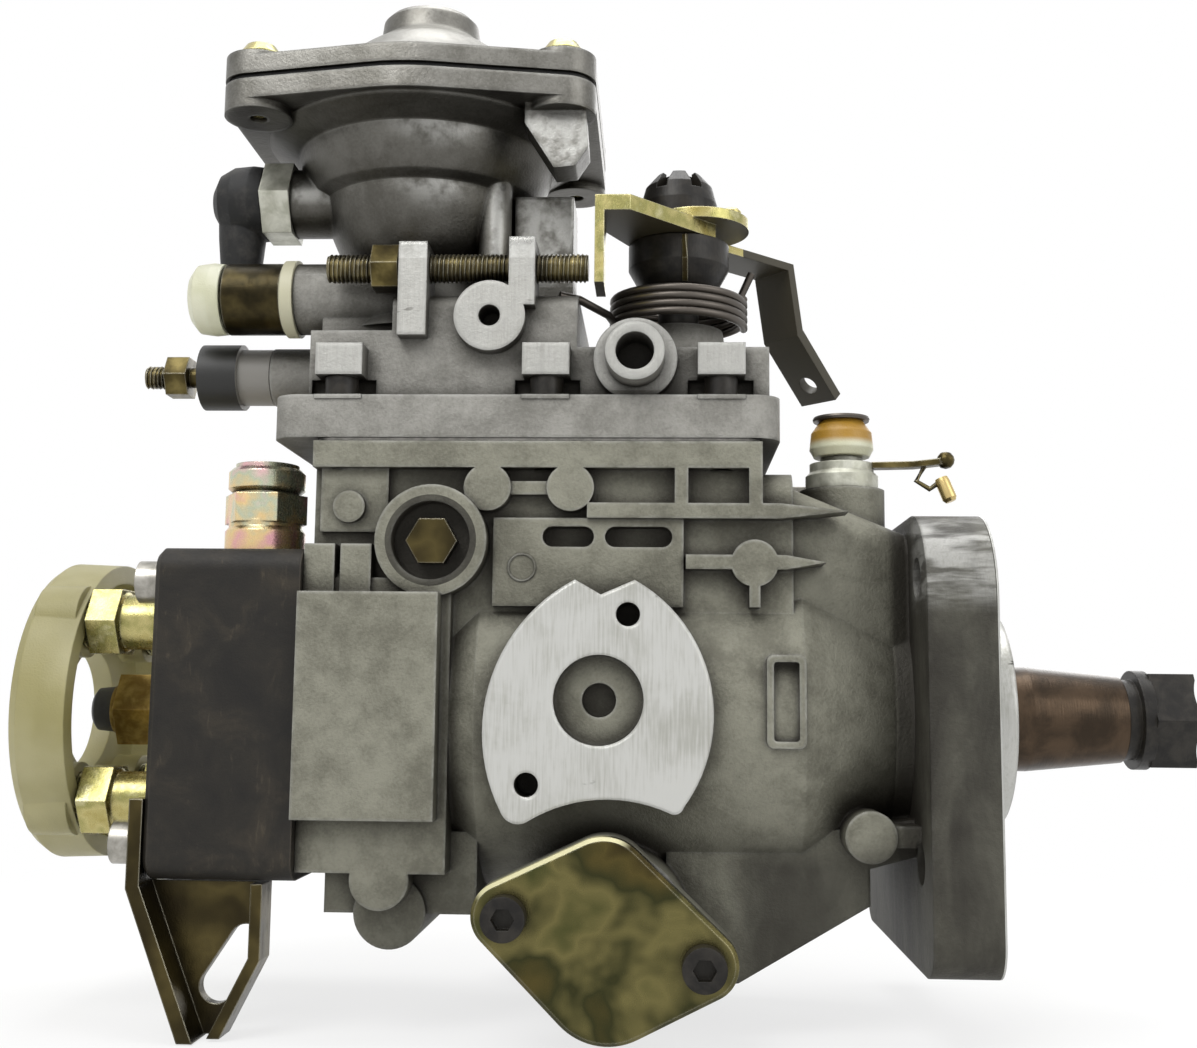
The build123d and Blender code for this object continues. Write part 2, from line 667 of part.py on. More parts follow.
with BuildPart() as plunger:
    rod_x(cam_rear + 2.8, plunger_end, plunger_radius)
    rod_x(cam_rear - 0.1, cam_rear - foot_thickness, foot_radius)
    # four filling slots at the tip, outlet slot and spill port
    for index in range(4):
        with Locations(Location((plunger_end, 0, 0), (90.0 * index, 0, 0))):
            with Locations((0, 0, plunger_radius)):
                Box(16, 2.0, 2.0, mode=Mode.SUBTRACT)
    block((plunger_end + 14, plunger_end + 24), (-1.2, 1.2), (plunger_radius - 1, plunger_radius + 1),
          mode=Mode.SUBTRACT)
    rod_x(plunger_end - 1, collar_front - 3, 1.2, mode=Mode.SUBTRACT)
    rod_z(-10, 10, 1.0, collar_front - 4.5, mode=Mode.SUBTRACT)
finish_part(plunger, "plunger")

bridge_front = cam_rear - foot_thickness - 0.1
with BuildPart() as spring_bridge:
    with BuildSketch(front(bridge_front - bridge_thickness)) as bridge_sketch:
        SlotOverall(2 * (spring_offset + bridge_end), 2 * (plunger_radius + bridge_wall))
        Circle(plunger_radius + GAP, mode=Mode.SUBTRACT)
        with Locations((-spring_offset, 0), (spring_offset, 0)):
            Circle(guide_pin_radius + GAP, mode=Mode.SUBTRACT)
    extrude(amount=bridge_thickness)
finish_part(spring_bridge, "spring_bridge")

spring_front = bridge_front - bridge_thickness - 0.1
with BuildPart() as plunger_springs:
    for spring_y in (-spring_offset, spring_offset):
        rod_x(head_spigot_rear + 0.1, spring_front, spring_radius, y=spring_y)
        rod_x(head_spigot_rear - 1, spring_front + 1, spring_radius - spring_wire, y=spring_y,
              mode=Mode.SUBTRACT)
finish_part(plunger_springs, "plunger_springs")

with BuildPart() as control_collar:
    rod_x(collar_rear, collar_front, collar_radius)
    rod_x(collar_rear - 1, collar_front + 1, plunger_radius + RUN, mode=Mode.SUBTRACT)
    rod_z(plunger_radius - 0.5, 14, ball_radius + 0.2, (collar_front + collar_rear) / 2, mode=Mode.SUBTRACT)
finish_part(control_collar, "control_collar")

# ================================================================ governor
with BuildPart() as guide_pins:
    rod_x(governor_shaft_rear, governor_shaft_front - 0.5, governor_shaft_radius, z=governor_z)
    for spring_y in (-spring_offset, spring_offset):
        rod_x(head_spigot_rear - 6, bridge_front + 1.5, guide_pin_radius, y=spring_y)
finish_part(guide_pins, "governor_shaft_and_pins")

cage_rear = gear_front - gear_width - cage_length
with BuildPart() as flyweight_carrier:
    outline_prism(front(gear_front - gear_width, 0, governor_z),
                  gear_outline(governor_teeth, 270.0 + 180.0 / governor_teeth), gear_width)
    rod_x(cage_rear, gear_front - gear_width, cage_radius, z=governor_z)
    rod_x(cage_rear - 1, gear_front - gear_width - 0.8, cage_radius - 1.6, z=governor_z, mode=Mode.SUBTRACT)
    rod_x(cage_rear - 1, gear_front + 1, governor_shaft_radius + RUN, z=governor_z, mode=Mode.SUBTRACT)
    # four windows for the weights
    for index in range(4):
        with Locations(Location(((cage_rear + weight_pivot_x) / 2 - 1.5, 0, governor_z),
                                (90.0 * index, 0, 0))):
            with Locations((0, 0, cage_radius)):
                Box(weight_pivot_x - cage_rear - 1, 14, 12, mode=Mode.SUBTRACT)
finish_part(flyweight_carrier, "flyweight_carrier")

for index in range(4):
    with BuildPart() as flyweight:
        with BuildSketch(Plane.XZ.offset(-5.5)) as weight_sketch:
            with BuildLine():
                Polyline((weight_pivot_x + 1.2, 14.4), (weight_pivot_x + 1.2, toe_radius - 0.8),
                         (weight_pivot_x - 1.4, toe_radius - 0.8), (weight_pivot_x - 1.4, 10.4),
                         (weight_pivot_x - weight_length, 10.4), (weight_pivot_x - weight_length, 14.0),
                         (weight_pivot_x - 2, 14.4), close=True)
            make_face()
        extrude(amount=11)
        rod_y(-6, 6, 0.7, weight_pivot_x, weight_pivot_radius, mode=Mode.SUBTRACT)
    placed = Pos(0, 0, governor_z) * Rot(90.0 * index, 0, 0) * flyweight.part
    placed.label = f"flyweight_{index + 1}"
    export_step(placed, f"parts/flyweight_{index + 1}.step")

sleeve_flange = weight_pivot_x - 1.4 - 0.3
sleeve_nose = -113.9
with BuildPart() as governor_sleeve:
    turned_x([(sleeve_flange, governor_shaft_radius + RUN), (sleeve_flange, toe_radius + 1),
              (sleeve_flange - 2, toe_radius + 1), (sleeve_flange - 2, 6.6), (-108, 6.6), (-112.5, 3.0),
              (sleeve_nose, 1.2), (sleeve_nose, 0), (-110.6, 0),
              (-110.6, 2.4), (-109.6, governor_shaft_radius + RUN)], z=governor_z)
finish_part(governor_sleeve, "governor_sleeve")

# ================================================================ governor levers
with BuildPart() as start_lever:
    rod_y(-14, 14, 7.0, lever_x, lever_z)
    block((-117.0, sleeve_nose - 0.4), (-7, 7), (42.0, 57.0))
    outline_prism(side(6), [(lever_x + 2, lever_z - 5), (-114.4, 42.0), (-114.4, 45.0), (-117.0, 45.0),
                            (lever_x - 2, lever_z + 5)], 12)
    ball_x = (collar_front + collar_rear) / 2
    outline_prism(side(2.6),
                  [(lever_x + 4.5, lever_z), (lever_x - 4.5, lever_z), (ball_x - 1.9, ball_z + 0.6),
                            (ball_x + 1.9, ball_z + 0.6)], 5.2)
    with Locations((ball_x, 0, ball_z)):
        Sphere(ball_radius)
    rod_y(-20, 20, lever_pin_radius + RUN, lever_x, lever_z, mode=Mode.SUBTRACT)
finish_part(start_lever, "start_lever")

spring_z = 75.5
with BuildPart() as tension_lever:
    for sign in (-1, 1):
        rod_y(sign * 14.2, sign * 17.0, 8.0, lever_x, lever_z)
        outline_prism(side(max(sign * 14.2, sign * 17.0)), [(lever_x - 6, lever_z), (lever_x + 6, lever_z),
                      (-118.6, 60.0), (-121.4, 60.0)], 2.8)
    block((-121.4, -118.6), (-17, 17), (57.6, 64.0))
    block((-121.4, -118.6), (throttle_y - 6, throttle_y + 6), (63.0, spring_z + 4))
    rod_x(-121.4, -117.9, 1.8, y=throttle_y, z=spring_z)
    rod_y(-20, 20, lever_pin_radius + RUN, lever_x, lever_z, mode=Mode.SUBTRACT)
finish_part(tension_lever, "tension_lever")

with BuildPart() as pivot_screws:
    for sign in (-1, 1):
        rod_y(sign * 9, sign * (rib_face - 2.8), lever_pin_radius, lever_x, lever_z)
        plane_at = side if sign < 0 else back
        hex_prism(plane_at(sign * (rib_face - 2.9), lever_x, lever_z), 10.0, 3.6)
finish_part(pivot_screws, "pivot_screws")

with BuildPart() as governor_spring:
    rod_x(-117.6, throttle_x - 8.6, 4.4, y=throttle_y, z=spring_z)
    rod_x(-118.6, throttle_x - 7.6, 3.0, y=throttle_y, z=spring_z, mode=Mode.SUBTRACT)
finish_part(governor_spring, "governor_spring")

# ================================================================ timing device
pin_y = timing_z * sin(radians(-rest_tilt))
with BuildPart() as timing_piston:
    rod_y(piston_start, piston_start + piston_length, timing_bore, timing_x, timing_z)
    rod_y(piston_start + piston_length - 8, piston_start + piston_length + 1, timing_bore - 2.4, timing_x,
          timing_z,
          mode=Mode.SUBTRACT)
    rod_y(piston_start - 1, piston_start + 16, timing_bore - 3.5, timing_x, timing_z, mode=Mode.SUBTRACT)
    rod_z(timing_z - 5.6, timing_z + 14, pin_ball + 0.15, timing_x, pin_y, mode=Mode.SUBTRACT)
    rod_z(timing_z + 4, timing_z + 14, pin_ball + 1.6, timing_x, pin_y, mode=Mode.SUBTRACT)
finish_part(timing_piston, "timing_piston")

with BuildPart() as timing_spring:
    rod_y(piston_start + piston_length - 7.9, timing_face - 0.1, 9.6, timing_x, timing_z)
    rod_y(piston_start + piston_length - 9, timing_face + 1, 7.6, timing_x, timing_z, mode=Mode.SUBTRACT)
finish_part(timing_spring, "timing_spring")

with BuildPart() as timing_covers:
    for sign, plane_at in ((-1, side), (1, back)):
        inner = sign * (timing_face + 0.1)
        groove = sign * (timing_face + 1.5)
        with BuildSketch(plane_at(inner, timing_x, timing_z)) as cover_sketch:
            add(timing_outline())
            for bolt in timing_bolts:
                with Locations(bolt):
                    Circle(2.7, mode=Mode.SUBTRACT)
        extrude(amount=timing_cover_thickness)
        rod_y(inner - sign, groove, 15.8, timing_x, timing_z, mode=Mode.SUBTRACT)
        rod_y(inner, groove + sign, 13.4, timing_x, timing_z)
    for face in (timing_covers.faces().sort_by(Axis.Y)[0], timing_covers.faces().sort_by(Axis.Y)[-1]):
        chamfer(face.outer_wire().edges(), 0.8)
finish_part(timing_covers, "timing_covers")

with BuildPart() as rubber_seals:
    turned_x([(0.3, seal_radius), (seal_depth, seal_radius), (seal_depth, seal_radius - 1.8),
              (2.3, seal_radius - 1.8),
              (2.3, journal_radius + 1.6), (6.5, journal_radius + 0.1), (5.0, journal_radius + 0.1),
              (0.3, journal_radius + 1.2)])
    for sign in (-1, 1):
        rod_y(sign * (timing_face + 0.05), sign * (timing_face + 1.4), 15.6, timing_x, timing_z)
        rod_y(sign * (timing_face - 1), sign * (timing_face + 2), 13.6, timing_x, timing_z,
              mode=Mode.SUBTRACT)
finish_part(rubber_seals, "rubber_seals")

with BuildPart() as timing_screws:
    cover_top = timing_face + timing_cover_thickness + 0.2
    for sign, plane_at in ((-1, side), (1, back)):
        for bolt in timing_bolts:
            at_x = timing_x - sign * bolt[0]
            at_z = timing_z + bolt[1]
            rod_y(sign * (timing_face - 12), sign * cover_top, 2.5, at_x, at_z)
            rod_y(sign * cover_top, sign * (cover_top + 4.5), 4.6, at_x, at_z)
            hex_prism(plane_at(sign * (cover_top + 2), at_x, at_z), 4.2, 5, mode=Mode.SUBTRACT)
finish_part(timing_screws, "timing_screws")

# ================================================================ distributor head
head_screws_at = [(y * head_screw_y, z * head_screw_z) for y in (-1, 1) for z in (-1, 1)]
outlets_at = [(y * outlet_offset, z * outlet_offset) for y in (-1, 1) for z in (-1, 1)]
sleeve_radius = 13.0
solenoid_x = -168.0
solenoid_y = -10.0
with BuildPart() as distributor_head:
    block((head_rear, head_front - 0.1), (-head_half_width, head_half_width), (-head_half, head_half))
    fillet(distributor_head.edges().filter_by(Axis.X), 5.0)
    chamfer(distributor_head.faces().sort_by(Axis.X)[0].edges(), 1.2)
    rod_x(head_spigot_rear, head_front - 1, chamber_radius)
    rod_x(head_spigot_rear + 1, head_rear - 1, sleeve_radius + FIT, mode=Mode.SUBTRACT)
    for y, z in head_screws_at:
        rod_x(head_rear - 1, head_front + 1, head_screw_bore, y, z, mode=Mode.SUBTRACT)
    for y, z in outlets_at:
        rod_x(head_rear - 1, head_rear + 16, holder_radius + FIT, y, z, mode=Mode.SUBTRACT)
        rod_x(head_rear + 15, head_rear + 22, 2.0, y, z, mode=Mode.SUBTRACT)
    for spring_y in (-spring_offset, spring_offset):
        rod_x(head_spigot_rear - 6.2, head_spigot_rear + 1, guide_pin_radius + FIT, y=spring_y,
              mode=Mode.SUBTRACT)
    rod_z(head_half - 8.2, head_half + 1, 7.0 + FIT, solenoid_x, solenoid_y, mode=Mode.SUBTRACT)
finish_part(distributor_head, "distributor_head")

with BuildPart() as head_sleeve:
    rod_x(head_spigot_rear, head_rear, sleeve_radius)
    rod_x(head_spigot_rear + 1, head_rear - 1, plunger_radius + RUN, mode=Mode.SUBTRACT)
finish_part(head_sleeve, "head_sleeve")

bracket_thickness = 3.0
with BuildPart() as head_screws:
    for y, z in head_screws_at:
        seat = head_rear - 0.1 - (bracket_thickness + 0.1 if y < 0 and z < 0 else 0)
        rod_x(seat, housing_rear + 13, 3.0, y, z)
        rod_x(seat, seat - 5.5, 4.8, y, z)
        hex_prism(Plane(origin=(seat - 6, y, z), x_dir=(0, 1, 0), z_dir=(1, 0, 0)), 5.0, 3.5,
                  mode=Mode.SUBTRACT)
finish_part(head_screws, "head_screws")

with BuildPart() as delivery_valves:
    for y, z in outlets_at:
        rod_x(head_rear + 15.8, head_rear + 11.0, 6.9, y, z)
        rod_x(head_rear + 12, head_rear + 4.0, 3.0, y, z)
        rod_x(head_rear + 16, head_rear + 14, 1.6, y, z, mode=Mode.SUBTRACT)
        # valve spring
        with BuildSketch(Plane(origin=(head_rear - 7.0, y, z), x_dir=(0, 1, 0),
                               z_dir=(1, 0, 0))) as spring_sketch:
            Circle(3.6)
            Circle(2.6, mode=Mode.SUBTRACT)
        extrude(amount=10.8)
finish_part(delivery_valves, "delivery_valves")

with BuildPart() as delivery_holders:
    hex_start = -204.0
    for y, z in outlets_at:
        rod_x(head_rear + 10.9, head_rear - 0.2, holder_radius, y, z)
        turned_x([(head_rear - 0.1, 0), (head_rear - 0.1, 8.6), (-187.0, 8.6), (-188.0, 6.4), (-196.5, 6.4),
                  (-197.2, 7.2), (-197.2, 0)], y, z)
        hex_prism(Plane(origin=(hex_start, y, z), x_dir=(0, 1, 0), z_dir=(1, 0, 0)), outlet_hex_flats, 7.0)
        turned_x([(hex_start + 1, 0), (hex_start + 1, 6.0), (outlet_tip + 1, 6.0), (outlet_tip, 5.0),
                  (outlet_tip, 0)],
                 y, z)
        rod_x(head_rear + 12, head_rear - 7.2, 4.4, y, z, mode=Mode.SUBTRACT)
        rod_x(head_rear - 7, outlet_tip - 1, 1.2, y, z, mode=Mode.SUBTRACT)
        turned_x([(outlet_tip - 0.1, 0), (outlet_tip - 0.1, 3.6), (outlet_tip + 4.5, 0)], y, z,
                 mode=Mode.SUBTRACT)
finish_part(delivery_holders, "delivery_holders")

with BuildPart() as head_plug:
    turned_x([(head_rear - 0.1, 0), (head_rear - 0.1, 12.0), (-188.0, 12.0), (-189.0, 10.6), (-190.0, 10.6),
              (-190.0, 0)])
    hex_prism(front(-204.0), 17.0, 14.5)
    rod_x(-203, -206, 6.0)
    rod_x(-206.1, -200, 3.0, mode=Mode.SUBTRACT)
finish_part(head_plug, "head_plug")

with BuildPart() as plug_cap:
    turned_x([(-206.1, 0), (-206.1, 5.6), (-210.4, 5.2), (-211.2, 4.2), (-211.2, 0)])
    rod_x(-206.2, -200.2, 2.9)
finish_part(plug_cap, "plug_cap")

with BuildPart() as support_bracket:
    rear_x = head_rear - 0.1
    outline_prism(side(-29.5),
                  [(rear_x - bracket_thickness, -19), (rear_x, -19), (rear_x, -37.5), (-171.0, -70.4),
                                (-174.4, -70.4), (rear_x - bracket_thickness, -38.2)], 11.5)
    outline_prism(side(-29.5), [(rear_x - 1, -37.2), (-158.0, -37.2), (-158.0, -53.5), (-166.2, -70.0),
                                (-173.0, -70.0)], bracket_thickness)
    outline_prism(side(-29.5),
                  [(-160.6, -37.2), (-158.0, -37.2), (-158.0, -53.5), (-166.2, -70.0), (-169.0, -70.0),
                                (-160.6, -53.0)], 8.0)
    with BuildSketch(side(-29)) as slot_sketch:
        with Locations(Location((-165.6, -55.0, 0), (0, 0, 57))):
            SlotOverall(19, 7.6)
    extrude(amount=5, mode=Mode.SUBTRACT)
    rod_x(rear_x + 1, rear_x - 5, 3.3, -33.0, -29.0, mode=Mode.SUBTRACT)
finish_part(support_bracket, "support_bracket")

with BuildPart() as guard_ring:
    turned_x([(guard_front, guard_radius - 4.5), (guard_front, guard_radius),
              (guard_rear + 2, guard_radius + 0.4),
              (guard_rear, guard_radius - 1.0), (guard_rear, guard_hole), (guard_rear + 5, guard_hole),
              (guard_rear + 5, guard_radius - 4.5)])
    for y, z in outlets_at:
        rod_x(guard_rear + 2, guard_front - 1.2, 8.4, y, z)
    for y, z in outlets_at:
        rod_x(outlet_tip - 0.2, guard_front + 1, 6.0 + 2 * FIT, y, z, mode=Mode.SUBTRACT)
finish_part(guard_ring, "outlet_guard")

with BuildPart() as shutoff_solenoid:
    rod_z(head_half - 8.0, head_half + 0.2, 7.0, solenoid_x, solenoid_y)
    turned_z([(0, head_half + 0.1), (9.6, head_half + 0.1), (9.6, 43.0), (8.8, 44.0), (8.8, 45.5), (0, 45.5)],
             solenoid_x, solenoid_y)
    hex_prism(Plane(origin=(solenoid_x, solenoid_y, 45.0)), 17.5, 7.0)
    turned_z([(0, 51), (8.0, 51), (8.0, 52.5), (9.2, 53.5), (9.2, 57.5), (8.2, 58.5), (0, 58.5)], solenoid_x,
             solenoid_y)
    rod_z(58, 59.6, 7.6, solenoid_x, solenoid_y)
finish_part(shutoff_solenoid, "shutoff_solenoid")

with BuildPart() as regulating_valve:
    turned_z([(0, valve_bottom), (valve_radius - 1.5, valve_bottom), (valve_radius, valve_bottom + 1.5),
              (valve_radius, valve_seat + 0.1), (8.4, valve_seat + 0.1), (8.4, valve_seat + 2.0),
              (0, valve_seat + 2.0)], valve_x, valve_y)
    hex_prism(Plane(origin=(valve_x, valve_y, valve_seat + 1.5)), 14.0, 6.0)
    rod_z(valve_seat + 4, valve_seat + 8, 3.0, valve_x, valve_y, mode=Mode.SUBTRACT)
finish_part(regulating_valve, "regulating_valve")

# ================================================================ fuel inlet and return
return_y = -15.0
return_z = 100.1
return_radius = 5.0
full_load_y = -5.0
full_load_z = 82.8
full_load_radius = 2.5
with BuildPart() as fuel_inlet:
    rod_z(41.0, 54.0, inlet_radius, inlet_x, inlet_y)
    turned_z([(0, 53.6), (8.6, 53.6), (8.6, 57.0), (7.6, 58.0), (7.6, 60.0), (0, 60.0)], inlet_x, inlet_y)
    rod_z(60, 61.5, inlet_radius, inlet_x, inlet_y)
    rod_z(40, 50, 2.5, inlet_x, inlet_y, mode=Mode.SUBTRACT)
finish_part(fuel_inlet, "fuel_inlet")

with BuildPart() as return_union:
    rod_x(-163.2, -150.0, return_radius, return_y, return_z)
    turned_x([(-160.1, 0), (-160.1, 9.4), (-163.0, 9.4), (-163.4, 8.7), (-177.4, 8.7), (-178.0, 8.1),
              (-178.0, 0)],
             return_y, return_z)
    rod_x(-178.5, -172, 4.0, return_y, return_z, mode=Mode.SUBTRACT)
finish_part(return_union, "return_union")

with BuildPart() as transport_caps:
    turned_x([(-178.2, 0), (-178.2, 8.6), (-181.0, 8.9), (-184.6, 8.4), (-186.2, 6.4), (-186.6, 0)],
             return_y, return_z)
    rod_x(-178.3, -173, 3.8, return_y, return_z)
    turned_z([(0, 61.7), (6.6, 61.7), (7.6, 63.5), (7.2, 67.5), (5.2, 70.4), (0, 70.4)], inlet_x, inlet_y)
finish_part(transport_caps, "transport_caps")

# ================================================================ governor cover
cavity_top = 80.0
roof_rear = -153.0
roof_step = -91.0
body_front = -47.0
body_half = 32.0
with BuildPart() as governor_cover:
    with BuildSketch(Plane.XY.offset(cover_base)) as flange_base:
        with Locations(((cover_rear + cover_front) / 2, 0)):
            RectangleRounded(cover_front - cover_rear, 2 * cover_half_width, 6)
    extrude(amount=cover_flange_top - cover_base)
    block((roof_rear, body_front), (-body_half, body_half), (cover_flange_top - 1, cover_low_roof))
    block((-134.0, roof_step), (-body_half, body_half), (cover_low_roof - 1, cover_roof))
    fillet(governor_cover.edges().filter_by(Axis.X).group_by(Axis.Z)[-1], 4)
    # the head end is lower on the near side, under the boss of the return union
    block((roof_rear, -133.0), (-body_half, body_half), (cover_low_roof - 1, 88.0))
    block((roof_rear, -133.0), (return_y - 6, body_half), (87.0, cover_roof))
    # screw columns with an open pocket under each
    for screw_x, screw_y in cover_screws:
        outer = (cover_half_width + 0.4) * (1 if screw_y > 0 else -1)
        block((screw_x - column_width / 2 - 0.6, screw_x + column_width / 2 + 0.6), (screw_y * 0.85, outer),
              (cover_flange_top - 1, column_top))
    # throttle bush boss
    turned_z([(0, cavity_top), (13.0, cavity_top), (11.0, throttle_boss_top), (0, throttle_boss_top)],
             throttle_x, throttle_y)
    # bowl of the boost unit on its neck, with a square flange
    with BuildSketch(side(0, boost_x)) as bowl_sketch:
        with BuildLine():
            Polyline((0, 92), (24.0, 92), (20.5, 99), (14.5, 107.5))
            Spline((14.5, 107.5), (19.6, 111.5), (22.9, 117.5), (25.2, 123.5), (26.0, 127.0))
            Line((26.0, 127.0), (28.6, 128.8))
            Spline((28.6, 128.8), (30.9, 133.5), (32.4, 139.0))
            Polyline((32.4, 139.0), (boost_flange_radius - 2, boost_lug_bottom + 1.5),
                     (boost_flange_radius - 2, boost_split - 0.1), (0, boost_split - 0.1), (0, 92))
        make_face()
    revolve(bowl_sketch.sketch, axis=Axis((boost_x, 0, 0), (0, 0, 1)))
    hull_plate(boost_outline, boost_lug_bottom + 2.0, boost_split - 0.1)
    # deep ear under the near lug on the throttle side
    outline_prism(side(-22), [(-104, 145), (-90, 146), (-89, 132), (-92, 127.5), (-97, 127), (-104, 138)], 10)
    for lug_x, lug_y in boost_lugs:
        rod_z(boost_lug_bottom, boost_split - 0.1, boost_lug_radius, boost_x + lug_x, lug_y)
    # block, post and stop-screw posts on the roof
    block((-108.0, -93.5), (-12, 4), (cover_roof - 1, 127.0))
    rod_z(cover_roof - 1, 134.0, 4.0, -112.5, -15.0)
    block((-132.2, -125.6), (stop_y - 6, stop_y + 6), (86.0, 108.0))
    block((-106.7, -100.7), (stop_y - 6, stop_y + 6), (cover_roof - 4, 109.0))
    # bosses on the near side
    rod_y(-36, -26, 8.2, plug_boss_x, plug_boss_z)
    rod_y(-44, -31, 6.6, round_boss_x, round_boss_z)
    rod_y(-36, -28, 9.5, round_boss_x, round_boss_z)
    # bosses on the head end: return union, full-load screw, boost fitting
    rod_x(-160.0, -128.0, 8.6, return_y, return_z)
    rod_x(-168.0, -150.0, 7.2, full_load_y, full_load_z)
    rod_x(-164.2, -150.0, 8.6, full_load_y, boost_port_z)

    # ---- hollows
    block((well_rear + 1, -52.0), (-well_half_width + 1, well_half_width - 1), (cover_base - 1, cavity_top),
          mode=Mode.SUBTRACT)
    block((well_rear + 1, -100.0), (-20, 20), (cavity_top - 1, 91.0), mode=Mode.SUBTRACT)
    turned_z([(0, 134.0), (26.0, 134.0), (27.0, 138.0), (32.0, 143.0), (36.0, 145.0), (36.0, 149.0),
              (0, 149.0)],
             boost_x, mode=Mode.SUBTRACT)
    rod_z(89, 135, boost_pin_radius + RUN, boost_x, mode=Mode.SUBTRACT)
    rod_z(cavity_top - 5, 100, throttle_radius + RUN, throttle_x, throttle_y, mode=Mode.SUBTRACT)
    for lug_x, lug_y in boost_lugs:
        rod_z(boost_lug_bottom - 1, boost_split + 1, 2.0 + FIT, boost_x + lug_x, lug_y, mode=Mode.SUBTRACT)
    for screw_x, screw_y in cover_screws:
        sign = 1 if screw_y > 0 else -1
        rod_z(cover_base - 1, cover_flange_top + 2, cover_screw_radius + FIT, screw_x, screw_y,
              mode=Mode.SUBTRACT)
        rod_z(cover_flange_top, column_top + 1, column_bore, screw_x, screw_y, mode=Mode.SUBTRACT)
        block((screw_x - 7.5, screw_x + 7.5), (sign * 29.5, sign * 45),
              (cover_flange_top, cover_flange_top + 4.6),
              mode=Mode.SUBTRACT)
    rod_x(-152, -120, stop_radius + FIT, stop_y, stop_z, mode=Mode.SUBTRACT)
    rod_x(-120, -95, stop_radius + FIT, stop_y, stop_z, mode=Mode.SUBTRACT)
    rod_y(-37, -28, 2.5, plug_boss_x, plug_boss_z, mode=Mode.SUBTRACT)
    rod_y(-45, -33, 4.3, round_boss_x, round_boss_z, mode=Mode.SUBTRACT)
    rod_x(-164, -149.8, return_radius + FIT, return_y, return_z, mode=Mode.SUBTRACT)
    rod_x(-170, -138, full_load_radius + FIT, full_load_y, full_load_z, mode=Mode.SUBTRACT)
    rod_x(-165, -154, boost_port_radius + FIT, full_load_y, boost_port_z, mode=Mode.SUBTRACT)
    rod_x(-156, -146, 1.5, full_load_y, boost_port_z, mode=Mode.SUBTRACT)
    rod_z(boost_port_z, 136, 1.5, -147.0, full_load_y, mode=Mode.SUBTRACT)
finish_part(governor_cover, "governor_cover")

with BuildPart() as cover_gasket:
    with BuildSketch(Plane.XY.offset(deck_height + 0.05)) as gasket_sketch:
        with Locations(((housing_rear + 1 + deck_front) / 2, 0)):
            RectangleRounded(deck_front - housing_rear - 1.6, 2 * rib_face - 0.6, 4)
        with Locations(((well_rear + well_front) / 2, 0)):
            Rectangle(well_front - well_rear, 2 * well_half_width, mode=Mode.SUBTRACT)
        for screw_x, screw_y in cover_screws:
            with Locations((screw_x, screw_y)):
                Circle(cover_screw_radius + 0.3, mode=Mode.SUBTRACT)
    extrude(amount=gasket_thickness - 0.1)
finish_part(cover_gasket, "cover_gasket")

with BuildPart() as cover_screw_group:
    for screw_x, screw_y in cover_screws:
        rod_z(deck_height - deck_strip + 0.5, cover_flange_top + 0.2, cover_screw_radius, screw_x, screw_y)
        rod_z(cover_flange_top + 0.1, cover_flange_top + 4.4, screw_head_radius, screw_x, screw_y)
        hex_prism(Plane(origin=(screw_x, screw_y, cover_flange_top + 2)), 4.0, 5, mode=Mode.SUBTRACT)
finish_part(cover_screw_group, "cover_screws")

# ================================================================ boost unit
with BuildPart() as boost_cap:
    lower = boost_split + diaphragm_thickness + 0.1
    with BuildSketch(side(0, boost_x)) as cap_sketch:
        with BuildLine():
            Polyline((0, lower), (boost_flange_radius - 2, lower), (boost_flange_radius - 2, 153.5),
                     (38.0, 155.2))
            Spline((38.0, 155.2), (31.5, 158.2), (25.0, 162.4), (19.5, 167.0), (14.6, 170.4))
            Polyline((14.6, 170.4), (12.9, 172.0), (12.3, 176.6), (11.0, boost_top), (0, boost_top),
                     (0, lower))
        make_face()
    revolve(cap_sketch.sketch, axis=Axis((boost_x, 0, 0), (0, 0, 1)))
    hull_plate(boost_outline, lower, 153.6)
    for lug_x, lug_y in boost_lugs:
        rod_z(lower, boost_lug_top, boost_lug_radius, boost_x + lug_x, lug_y)
    for lug_x, lug_y in boost_lugs:
        rod_z(lower - 1, boost_lug_top + 1, 2.0 + FIT, boost_x + lug_x, lug_y, mode=Mode.SUBTRACT)
    turned_z([(0, lower - 1), (34.5, lower - 1), (33.0, 152.0), (22.0, 158.0), (13.0, 164.5), (6.0, 167.0),
              (0, 167.0)],
             boost_x, mode=Mode.SUBTRACT)
    rod_z(166, boost_top + 1, 3.0 + FIT, boost_x, mode=Mode.SUBTRACT)
finish_part(boost_cap, "boost_cap")

with BuildPart() as boost_diaphragm:
    hull_plate([(x, y, radius - 0.8) for x, y, radius in boost_outline], boost_split,
               boost_split + diaphragm_thickness)
    for lug_x, lug_y in boost_lugs:
        rod_z(boost_split - 1, boost_split + 2, 2.2, boost_x + lug_x, lug_y, mode=Mode.SUBTRACT)
    rod_z(boost_split - 1, boost_split + 2, 3.2, boost_x, mode=Mode.SUBTRACT)
finish_part(boost_diaphragm, "boost_diaphragm")

with BuildPart() as boost_pin:
    turned_z([(0, 84.0), (3.0, 84.0), (boost_pin_radius, 86.0), (boost_pin_radius, 93.0), (3.0, 99.0),
              (boost_pin_radius, 103.0), (boost_pin_radius, 145.0), (17.0, 146.3), (20.0, 146.3),
              (20.0, 147.9), (3.0, 147.9), (3.0, 149.2), (20.0, 149.2), (20.0, 150.6), (6.0, 150.8),
              (6.0, 154.0), (2.0, 154.0), (2.0, 156.0), (0, 156.0)], boost_x)
finish_part(boost_pin, "boost_pin")

with BuildPart() as boost_spring:
    rod_z(134.2, 145.2, 12.0, boost_x)
    rod_z(133, 149, 9.8, boost_x, mode=Mode.SUBTRACT)
finish_part(boost_spring, "boost_spring")

